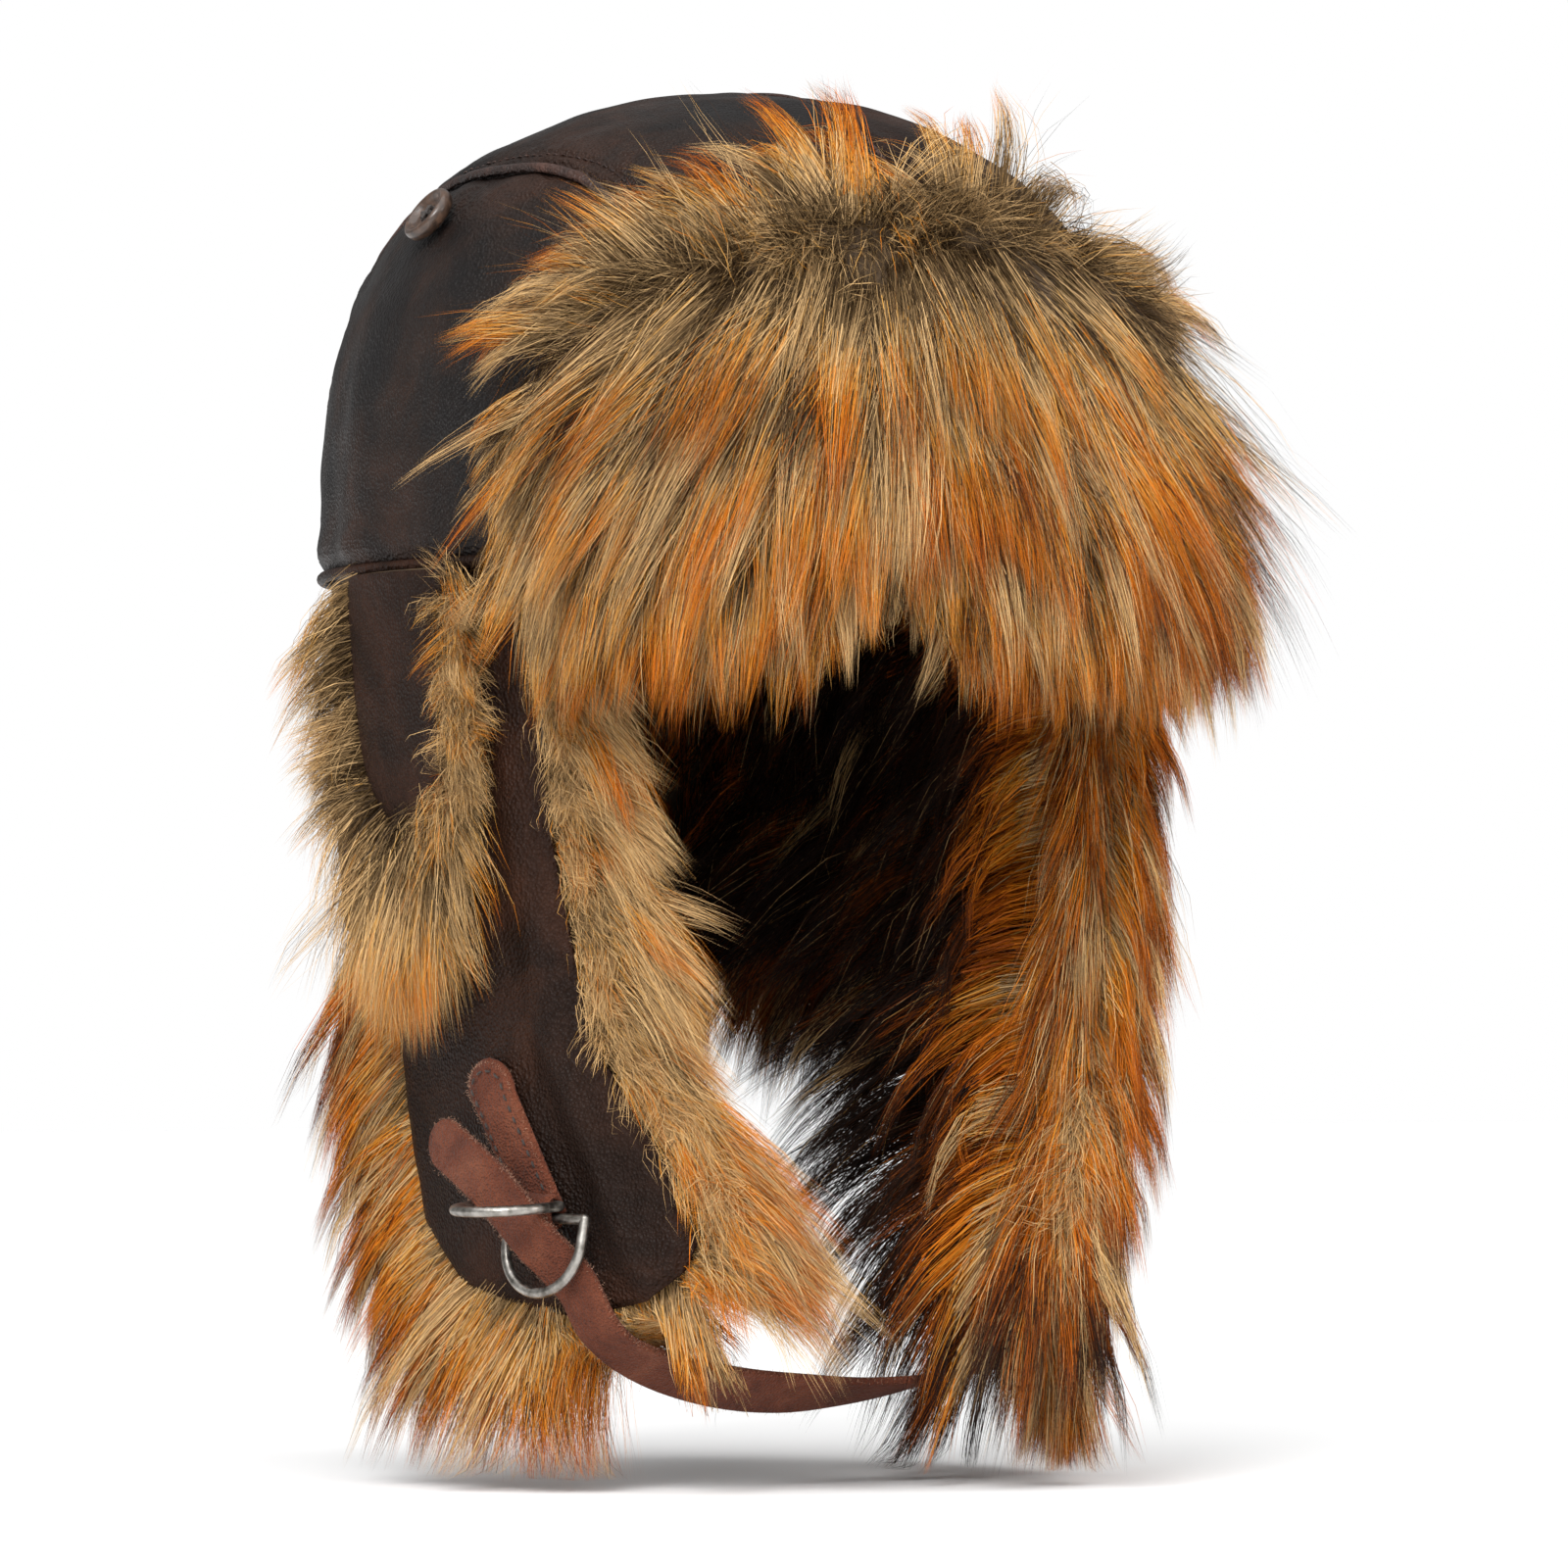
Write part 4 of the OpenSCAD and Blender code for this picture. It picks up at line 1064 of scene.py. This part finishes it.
def behind_strap(pts):
    """Strands that would cover the chin strap pass behind it."""
    flat = pts.reshape(-1, 3)
    for i in range(0, len(centre), 3):
        d = flat - centre[i]
        h = d @ up[i]
        beside = np.linalg.norm(d - h[:, None] * up[i], axis=1)
        flat = flat - ((smooth(20, 10, beside) * np.clip(h + 3, 0, 34))[:, None]) * up[i]
    return flat.reshape(pts.shape)


def patches(frame_of, a, z, size, seed, amount):
    """Millimetres that the colours run ahead by, in soft patches."""
    return amount * waves(frame_of(a, z)[0], size, seed)


def combed(first, last, length, ahead, size, seed, amount):
    """Hair that lies one way all over its area, with its colours in patches."""
    return lambda a, z: (first, last, length, ahead + patches(skirt_frame, a, z, size, seed, amount))


def strip(low_a, high_a, low_z, high_z):
    """Roots spread evenly over a range of angles and heights."""
    return lambda rng, n: (rng.uniform(low_a, high_a, n), rng.uniform(low_z, high_z, n))


# visor: the pile under the strands
def visor_pile(s, t, k):
    angle = (VISOR_REACH - 7) * (1 - 2 * s)
    top = visor_top(angle) + 2
    z = lerp(-6, top, t)
    p, n, _, _ = visor_frame(angle, z)
    body = 7 - 3.5 * smooth(0.5, 1, t) + 1.2 * waves(p, 12, 81) + 0.6 * waves(p, 5, 82)
    edge = np.minimum(np.minimum(s, 1 - s) * 14, np.minimum(t, 1 - t) * 7)
    thick = 1.5 + (body - 1.5) * np.sqrt(np.clip(edge, 0, 1))
    return p + (VISOR_ROOT + thick * (1 - k))[..., None] * n


piece = shell("visor_pile", 110, 60, visor_pile, PILE, 2)
stand_for(piece, "visor_fur", "fur", "visor")


def visor_face_place(rng, n):
    a = rng.uniform(-50, 48, n)
    return a, lerp(-5, visor_top(a) - 1, rng.random(n) ** 0.85)


def visor_face_lie(a, z):
    """Combed down from the parting, turning to the sides towards the visor's ends."""
    high, wide = smooth(0, 55, z), np.abs(a)
    swing = np.radians(np.sign(a) * smooth(3, 34, wide) * lerp(8, 44 - 26 * smooth(36, 49, wide), high))
    swing = swing * (1 - 0.6 * smooth(-26, -46, a))
    u, v = np.sin(swing), -np.cos(swing)
    rise = 0.82 - 0.64 * smooth(10, 64, z) - 0.2 * smooth(30, 48, a) - 0.36 * smooth(-18, -42, a)
    length = 66 - 20 * smooth(24, -5, z) - 26 * np.exp(-(((a - 11) / 7) ** 2)) * smooth(45, 0, z)
    length = length - 14 * smooth(36, 52, wide)
    below_top = visor_top(np.clip(a, -VISOR_REACH, VISOR_REACH)) - z
    ahead = -5 + 15 * smooth(45, 0, z) - 9 * smooth(24, 0, below_top) + patches(visor_frame, a, z, 60, 91, 8)
    ahead = ahead - 14 * np.exp(-(((a - 42) / 13) ** 2)) * smooth(-12, 8, z)
    ahead = ahead + 12 * smooth(-22, -48, a) * smooth(45, 15, z)
    return (0.65 * u, 0.65 * v, rise), (0.8 * u, 0.8 * v, 0.08), 0.4, length, ahead


def visor_face_parts(a, z):
    first, last, down, length, ahead = visor_face_lie(a, z)
    return (*first, 0), (*last, down), length, ahead


def visor_under_parts(a, z):
    """Short woolly hair close to the pelt."""
    first, last, _, _ = visor_face_parts(a, z)
    return first, last, 20, -5


def visor_top_place(rng, n):
    a = 49 - 93 * rng.random(n) ** 1.25
    return a, visor_top(a) + rng.uniform(-5, 1, n)


def visor_top_parts(a, z):
    fan = a / VISOR_REACH
    end = np.where(fan > 0, smooth(0.45, 0.85, fan), smooth(0.05, 0.45, -fan))
    first = (1.15 * fan - 0.25 * end * (fan < 0), 0.8 - 0.6 * end, 0.24, 0)
    last = (1.3 * fan, 0.7 - 0.8 * end, -0.85 + 0.7 * end, 0.1 + 0.5 * end)
    return first, last, 54 - 8 * np.abs(fan), 1 + patches(visor_frame, a, z, 24, 92, 9)


def parting_parts(a, z):
    """Woolly hair standing up along the parting."""
    return (0.5 * a / VISOR_REACH, -0.15, 0.6, 0), (0.6 * a / VISOR_REACH, -0.2, 0.3, 0.1), 21, -1


def visor_hem_parts(a, z):
    fan = a / VISOR_REACH
    length = 39 - 24 * np.exp(-(((a - 11) / 7) ** 2))
    ahead = 14 + patches(visor_frame, a, z, 50, 93, 8)
    return (0.25 * fan, -0.8, 0.3, 0.4), (0.35 * fan, -0.6, -0.1, 0.7), length, ahead


def visor_end_place(rng, n):
    """The visor's two end edges."""
    a = np.where(rng.random(n) < 0.5, -50, 50) + rng.uniform(-3, 3, n)
    return a, rng.uniform(-4, 1, n) + rng.random(n) * visor_top(a)


def visor_end_parts(a, z):
    side, high = np.sign(a), smooth(5, 40, z)
    first = (0.1 * side, -0.65, 0.24 - 0.15 * high, 0.1)
    last = (0.08 * side * high, -0.5, -0.05, 0.6)
    return first, last, 44 - 6 * high, patches(visor_frame, a, z, 40, 94, 8)


def visor_rim_place(rng, n):
    """The corners beyond the pile."""
    a = np.where(rng.random(n) < 0.5, -1, 1) * rng.uniform(50, VISOR_REACH - 0.5, n)
    return a, lerp(-4, visor_top(a) - 0.5, rng.random(n))


def visor_rim_parts(a, z):
    side = np.sign(a)
    first = (0.1 * side, -0.4, 0.3, 0)
    return first, (0.15 * side, -0.6, 0, 0.4), 24, 4 + patches(visor_frame, a, z, 30, 85, 8)


def visor_sweep_parts(a, z):
    """A few long locks that sweep past the visor's ends."""
    side = np.sign(a)
    return (0.7 * side, -0.45, 0.2, 0), (0.6 * side, -0.5, 0, 0.35), 50, 8


def at_root(extra):
    return lambda a, z: VISOR_ROOT + extra * smooth(80, 55, z)


VISOR_COATS = (
    ("under", visor_face_place, visor_under_parts, at_root(3), 460, 44, 100,
     {"gather": 0.4, "segments": 3, "mess": 0.25, "loose": 0.2, "tips": 0}),
    ("parting", visor_top_place, parting_parts, at_root(0), 130, 60, 108,
     {"gather": 0.45, "mess": 0.45, "loose": 0.25, "tips": 0}),
    ("face_1", visor_face_place, visor_face_parts, at_root(1), 250, 104, 101, {"gather": 0.92}),
    ("face_2", visor_face_place, visor_face_parts, at_root(3), 200, 115, 102,
     {"radius": 3.0, "gather": 0.95, "wave": 1.4}),
    ("face_3", visor_face_place, visor_face_parts, at_root(5), 150, 50, 107,
     {"radius": 2.4, "gather": 0.6, "width": 0.16, "wave": 1.5, "mess": 0.2, "loose": 0.12, "tips": 0.75}),
    ("top", visor_top_place, visor_top_parts, at_root(1), 58, 130, 103,
     {"radius": 2.6, "gather": 0.9, "wave": 2.4, "mess": 0.24, "loose": 0.07}),
    ("wisps", visor_top_place, visor_top_parts, at_root(1), 50, 20, 106,
     {"radius": 1.4, "gather": 0.5, "width": 0.16, "wave": 2.0, "mess": 0.4, "loose": 0.16, "tips": 0.5}),
    ("ends", visor_end_place, visor_end_parts, at_root(0), 110, 80, 105,
     {"radius": 2.6, "gather": 0.88, "mess": 0.15}),
    ("rim", visor_rim_place, visor_rim_parts, at_root(0), 120, 60, 110,
     {"radius": 2.2, "gather": 0.8, "mess": 0.2}),
    ("sweep", visor_end_place, visor_sweep_parts, at_root(0), 7, 50, 109,
     {"radius": 1.8, "gather": 0.92, "width": 0.2, "wave": 1.6, "mess": 0.22}),
)
VISOR_HEM = (("hem", strip(-50, 50, -7, 1), visor_hem_parts, at_root(-2), 170, 90, 104,
              {"radius": 3.0, "mess": 0.16, "tips": 0.3}),)
for piece in coats("visor_fur_{}", visor_frame, VISOR_COATS, keep=clear_of_crown):
    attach(piece, "visor")
# Its hair ends keep hanging down as the visor turns
for piece in coats("visor_fur_{}", visor_frame, VISOR_HEM):
    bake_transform(piece)


# ear flaps
def flap_pile(s, t, k):
    z = lerp(-3, -DROP - 2, t)
    front, rear = flap_edges(np.maximum(z, -DROP))
    grow = 3.2 * smooth(-5, -20, z)
    behind = grow * smooth(-86, -92, z)
    angle = lerp(front - grow, rear + behind, s)
    p, n, _, _ = skirt_frame(angle, z)
    full = 11.5 - 4 * (-z / DROP) ** 2 + 1.4 * waves(p, 14, 83) + 0.6 * waves(p, 6, 84)
    width = (rear - front + grow + behind) * MM_PER_DEGREE
    edge = np.minimum(np.minimum(s, 1 - s) * width / 14, (1 - t) * 12)
    thick = 1.5 + (full - 1.5) * np.sqrt(np.clip(edge, 0, 1))
    return p + (FLAP_ROOT - thick * k)[..., None] * n


def flap_inner_place(rng, n):
    z = -4 - 178 * rng.random(n)
    keep_it = rng.random(n) < np.where(z > -90, 1, 0.62)
    z = np.where(keep_it, z, -4 - 86 * rng.random(n))
    front, rear = flap_edges(z)
    return lerp(front - 2, rear + 1, rng.random(n)), z


def across_flap(a, z):
    front, rear = flap_edges(z)
    return (a - front) / np.maximum(rear - front, 1)


def flap_inner_parts(a, z):
    s = across_flap(a, z)
    fan = -0.55 * smooth(0.5, 0, s) + 0.45 * smooth(0.6, 1, s) * smooth(-80, -100, z)
    # The colours run far ahead on the inner faces, so they darken: partly the fur's own dark tips, partly
    # painted shade of the hat's inside
    ahead = 44 + 8 * smooth(-70, -20, z) - 27 * smooth(0.3, 0.0, s) + patches(skirt_frame, a, z, 32, 95, 17)
    length = 54 - 8 * smooth(-140, -184, z)
    return (0.5 * fan, -0.35, -0.95, 0.1), (0.7 * fan, -0.75, -0.22, 0.45), length, ahead


def flap_inner_loose(a, z):
    """The wearer's left flap, whose fur stands further into the opening. Its colours run further ahead,
    darker, partly as painted shade.
    """
    first, last, length, ahead = flap_inner_parts(a, z)
    behind = smooth(0.15, 0.6, across_flap(a, z)) * smooth(-35, -75, z)
    low = smooth(-130, -178, z)
    first = (0.4 * behind * (1 - low), -0.12 - 0.4 * low, -1.0 + 0.4 * low, 0.3 * low)
    last = (0.3 * behind * (1 - low), -0.5, -0.12 - 0.4 * behind * (1 - 0.7 * low), 0.65 + 0.3 * low)
    return first, last, length + 6 + 16 * behind * (1 - low) + 14 * low, ahead + 5 + 5 * behind - 12 * low


def flap_front_place(rng, n):
    """Along the front edge from under the crown to the chin."""
    z = -6 - 168 * rng.random(n)
    front, _ = flap_edges(z)
    return front - rng.uniform(0, 3.4, n), z


def flap_front_parts(a, z):
    low = smooth(-120, -175, z)
    length = 36 + 8 * smooth(-30, -90, z) + 6 * low
    ahead = 11 + 11 * low + patches(skirt_frame, a, z, 34, 96, 8)
    return (-1.0, -0.15, 0.1 - 0.25 * low, 0.1), (-0.45, -0.55, -0.35, 0.65), length, ahead


def flap_edge_place(rng, n):
    z = -10 - 166 * rng.random(n)
    front, _ = flap_edges(z)
    return front - rng.uniform(0.8, 3.8, n), z


def flap_edge_parts(a, z):
    """Matted hair on the rim in front of the leather's edge."""
    low = smooth(-110, -150, z)
    first = (-0.8, -0.1, 0.5 - 0.3 * low, 0)
    ahead = 21 + patches(skirt_frame, a, z, 16, 88, 9)
    return first, (-0.4, -0.7, 0.2 - 0.2 * low, 0.3), 18 + 10 * low, ahead


def flap_front_hanging(a, z):
    """The wearer's left flap, whose fur hangs straight down."""
    _, _, length, ahead = flap_front_parts(a, z)
    return (-0.75, -0.45, -0.2, 0.2), (-0.1, -0.75, -0.1, 0.75), length + 10, ahead + 12


def flap_front_rolled(a, z):
    """More of its fur, rolling outward round the leather's front edge."""
    _, _, length, ahead = flap_front_parts(a, z)
    return (-0.6, -0.35, 0.6, 0.1), (0.05, -0.75, 0, 0.75), length + 10, ahead + 12


def flap_rear_place(rng, n):
    """Along the edge from the neck flap down the jaw and round the lower end."""
    low = rng.random(n) < 0.4
    z = np.where(low, -184 + 9 * rng.random(n), -91 - 90 * rng.random(n))
    front, rear = flap_edges(z)
    return np.where(low, lerp(front, rear, rng.random(n)), rear + rng.uniform(-1, 3, n)), z


def flap_rear_parts(a, z):
    behind = smooth(0.35, 1.0, across_flap(a, z))
    low = smooth(-165, -182, z)
    forward = 0.55 * low * smooth(0.75, 0.25, across_flap(a, z))
    first = (behind * (1 - 0.4 * low) - forward, -0.4, 0.1 + 0.5 * behind, 0.2)
    last = (0.4 * behind - 0.7 * forward, -0.65, 0.12 * behind, 0.7)
    return first, last, 52 + 4 * low, 19 + patches(skirt_frame, a, z, 45, 97, 9)


# Under the wide part behind the ear: as it hangs on the right, and further in on the left, with darker
# colours there that are partly painted shade
flap_back_place = strip(97, SPLIT, -90, -84)
flap_back_parts = combed((0.1, -0.8, 0.1, 0.4), (0, -0.6, -0.1, 0.7), 44, 14, 45, 98, 8)
flap_back_dark = combed((0.25, -0.5, -0.6, 0.3), (0.15, -0.6, -0.25, 0.7), 54, 42, 45, 98, 8)


def inside(extra):
    return lambda a, z: FLAP_ROOT - extra + 0 * a


for piece, side in with_mirror(shell("flap_pile_right", 60, 110, flap_pile, PILE, 2)):
    stand_for(piece, f"ear_flap_fur_{side}", "fur")
    fold(piece)
for side, mirror in (("right", False), ("left", True)):
    inner, locks, depth, edge, back, tips, pale = (
        (flap_inner_loose, 360, 9, flap_front_hanging, flap_back_dark, 0.3, 0.2) if mirror else
        (flap_inner_parts, 240, 2, flap_front_parts, flap_back_parts, 0.08, 0.6))
    rows = [
        # Many dark tips and few pale hairs on the inner faces: partly the fur's own, partly painted shade of
        # the hat's inside
        ("inner", flap_inner_place, inner, inside(depth), locks, 70, 1,
         {"wave": 2.2, "mess": 0.2, "width": 0.3, "tips": 0.4, "pale": 0.03}),
        ("front", flap_front_place, edge, inside(1.5), 230, 90, 2,
         {"radius": 2.6, "gather": 0.75, "wave": 1.6, "mess": 0.2, "loose": 0.12, "tips": tips,
          "pale": pale}),
        ("rear", flap_rear_place, flap_rear_parts, inside(1.2), 190, 90, 3,
         {"radius": 2.8, "gather": 0.9, "mess": 0.17, "tips": 0.25, "pale": 0.3}),
        ("back", flap_back_place, back, inside(2), 110, 70, 4, {"radius": 2.6, "mess": 0.2, "keep": None}),
        ("edge", flap_edge_place, flap_edge_parts, inside(-1.2), 190, 60, 6,
         {"radius": 2.0, "gather": 0.6, "wave": 2.8, "mess": 0.35, "loose": 0.25, "tips": 0.03,
          "pale": 0.7}),
    ]
    if mirror:
        rows.append(("roll", flap_front_place, flap_front_rolled, inside(1), 190, 90, 5,
                     {"radius": 2.6, "gather": 0.88, "mess": 0.18}))
    for piece in coats(f"flap_fur_{{}}_{side}", skirt_frame, rows, 300 if mirror else 200,
                       None if mirror else behind_strap, mirror):
        fold(piece)


# neck flap
def neck_pile(s, t, k):
    angle = lerp(SPLIT + 0.2, 360 - SPLIT - 0.2, s)
    z = lerp(-3, -NECK_DROP - 4, t)
    p, n, _, _ = skirt_frame(angle, z)
    full = 11 + 1.4 * waves(p, 14, 85)
    thick = 1.5 + (full - 1.5) * np.sqrt(np.clip((1 - t) * 8, 0, 1))
    return p + (FLAP_ROOT - thick * k)[..., None] * n


def neck_place(rng, n):
    return rng.uniform(SPLIT, 360 - SPLIT, n), -4 - 84 * rng.random(n)


neck_hem_place = strip(SPLIT, 360 - SPLIT, -90, -83)
# The inner fur's colours run far ahead and half its hairs get dark tips: partly its own dark fur, partly
# painted shade of the hat's inside
neck_parts = combed((0, -0.35, -0.9, 0.15), (0, -0.8, -0.1, 0.45), 42, 38, 45, 99, 12)
neck_hem_parts = combed((0, -0.8, 0.1, 0.4), (0, -0.6, -0.1, 0.7), 42, 14, 45, 90, 10)
piece = shell("neck_pile", 60, 40, neck_pile, PILE, 2)
stand_for(piece, "neck_flap_fur", "fur")
fold(piece)
for piece in coats("neck_fur_{}", skirt_frame, (
        ("inner", neck_place, neck_parts, inside(2), 170, 60, 401,
         {"mess": 0.2, "width": 0.32, "tips": 0.5, "pale": 0.02}),
        ("hem", neck_hem_place, neck_hem_parts, inside(1.5), 150, 70, 402, {"radius": 2.6}))):
    fold(piece)


# ear covers
def cover_pile(s, t, k):
    angle, z = cover_place(s, t)
    f = np.sin(np.pi / 2 * t)
    angle = angle + 2.2 * (2 * s - 1)
    z = z - 4 * t
    p, n, _, _ = skirt_frame(angle, z)
    edge = np.clip(np.minimum(np.minimum(s, 1 - s) * 6, (1 - t) * 6), 0, 1)
    thick = 1.2 + (COVER_H - 0.9 - 1.2) * np.sqrt(edge)
    lift = (COVER_H - 0.3) * smooth(-0.5, 0.16, f)
    return p + (lift - thick * k)[..., None] * n


def cover_edge_place(rng, n):
    """Round the tongue's edge: s runs down one side, round the tip and up the other."""
    tip = rng.random(n) < 0.42
    s = np.where(rng.random(n) < 0.5, 0.0, 1.0)
    t = np.where(tip, 1 - 0.12 * rng.random(n) ** 2, rng.random(n) * 0.98)
    return cover_place(np.where(tip, rng.random(n), s), t)


def along_cover(z):
    return np.clip((z - COVER_TOP) / (-COVER_DROP - COVER_TOP), 0, 1)


def cover_parts(a, z):
    """Outward from the tongue's edge, turning down: loose behind, matted in front, long at the tip."""
    f = along_cover(z)
    x = (a - COVER_MID + COVER_LEAN * f) / COVER_HALF
    tip = smooth(0.8, 1.0, f)
    front, rear = smooth(0.2, -0.6, x) * (1 - tip), smooth(0.2, 0.6, x) * (1 - tip)
    first = (np.clip(x, -1, 1) * (0.85 - 0.5 * tip), -0.2 - 0.6 * tip, 0.6 - 0.3 * tip, 0.1)
    last = (0.5 * x * (1 - 0.5 * tip), -0.4 - 0.3 * tip, -0.1 + 0.12 * rear, 0.55 - 0.15 * rear)
    length = 27 - 7 * front + 6 * rear * smooth(0.6, 0.3, f) + 25 * tip
    return first, last, length, 5 - 9 * tip + 5 * front + patches(skirt_frame, a, z, 22, 89, 9)


def cover_front_place(rng, n):
    """Beside the tongue's front edge."""
    angle, z = cover_place(0 * rng.random(n), rng.random(n) * 0.95)
    return angle - rng.uniform(-0.5, 1.8, n), z


def cover_face_place(rng, n):
    return cover_place(rng.random(n), rng.random(n) * 0.97)


def cover_face_root(a, z):
    return 0.45 + 0 * a


def above_flap(pts):
    return clear_of_flap(pts, 0.25)


def cover_root(a, z):
    return (COVER_H - 0.6) * smooth(-0.5, 0.16, along_cover(z)) - 1.0


for piece, side in with_mirror(shell("cover_pile_right", 40, 50, cover_pile, PILE, 2)):
    stand_for(piece, f"ear_cover_fur_{side}", "fur", f"{side}_ear_cover")
# Matted and curly beside the front edge, and flattened between the cover and the flap
cover_front_parts = combed((-0.75, -0.1, 0.5, 0), (-0.1, -0.75, 0.1, 0.2), 15, 12, 13, 87, 13)
cover_face_parts = combed((0, -0.9, -0.08, 0), (0, -0.9, -0.08, 0.1), 22, 4, 20, 86, 10)
COVER_COATS = (
    ("fur", cover_edge_place, cover_parts, cover_root, 240, 70, 0,
     {"radius": 2.2, "gather": 0.76, "wave": 2.0, "mess": 0.26, "loose": 0.14, "tips": 0.05, "pale": 0.55}),
    ("curls", cover_front_place, cover_front_parts, cover_root, 120, 60, 1,
     {"radius": 2.0, "gather": 0.55, "width": 0.2, "wave": 3.4, "mess": 0.5, "loose": 0.3, "tips": 0.03,
      "pale": 0.5}),
    ("lining", cover_face_place, cover_face_parts, cover_face_root, 230, 60, 2,
     {"radius": 2.4, "gather": 0.8, "width": 0.3, "segments": 3, "mess": 0.12, "pale": 0.4,
      "keep": above_flap}),
)
for side, seed in (("right", 500), ("left", 600)):
    for piece in coats(f"cover_{{}}_{side}", skirt_frame, COVER_COATS, seed, clear_of_flap, side == "left"):
        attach(piece, f"{side}_ear_cover")


# ---- floor, light, camera ----
floor_mat, _, floor_shader = new_material("floor")
put(floor_shader, {"Base Color": (0.93, 0.93, 0.93, 1), "Roughness": 0.9})
FLOOR_SIZE, FLOOR_Z = 6.0, -0.2275
floor = bpy.data.meshes.new("floor")
corners = [(x * FLOOR_SIZE, y * FLOOR_SIZE, FLOOR_Z) for x, y in ((-1, -1), (1, -1), (1, 1), (-1, 1))]
floor.from_pydata(corners, [], [(0, 1, 2, 3)])
floor.materials.append(floor_mat)
add_object("floor", floor)

world = bpy.context.scene.world or bpy.data.worlds.new("world")
bpy.context.scene.world = world
world.use_nodes = True
background = world.node_tree.nodes["Background"]
background.inputs[0].default_value = (1, 1, 1, 1)
light_path = world.node_tree.nodes.new("ShaderNodeLightPath")
strength = world.node_tree.nodes.new("ShaderNodeMapRange")
world.node_tree.links.new(light_path.outputs["Is Camera Ray"], strength.inputs[0])
strength.inputs[3].default_value, strength.inputs[4].default_value = 0.36, 1.0
world.node_tree.links.new(strength.outputs[0], background.inputs[1])
bpy.context.scene.view_settings.view_transform = "Standard"


def aim_at(ob, where, aim):
    ob.location = where
    ob.rotation_mode = "QUATERNION"
    ob.rotation_quaternion = Vector(aim).to_track_quat("-Z", "Y")


def area_light(name, where, target, width, power):
    data = bpy.data.lights.new(name, "AREA")
    data.shape = "RECTANGLE"
    data.size, data.size_y = width, width * 0.8
    data.energy = power
    aim_at(add_object(name, data), where, np.array(target) - np.array(where))


area_light("key", (-1.0, -1.1, 0.9), (0, 0, -0.05), 0.7, 20)
area_light("fill", (0.9, -1.2, 0.35), (0, 0, -0.05), 0.9, 9)
sun = bpy.data.lights.new("sun", "SUN")
sun.energy, sun.angle = 3.0, 1.6
add_object("sun", sun).rotation_euler = (0.55, -0.3, 0)

AZIMUTH, ELEVATION, DISTANCE, LENS = -28.0, -1.5, 2.2, 201.0
az, el = math.radians(AZIMUTH), math.radians(ELEVATION)
look = np.array([0.0129, -0.0068, -0.0537])
back = np.array([math.sin(az) * math.cos(el), -math.cos(az) * math.cos(el), math.sin(el)])
camera_data = bpy.data.cameras.new("camera")
camera_data.lens = LENS
camera = add_object("camera", camera_data)
aim_at(camera, look + back * DISTANCE, -back)
bpy.context.scene.camera = camera
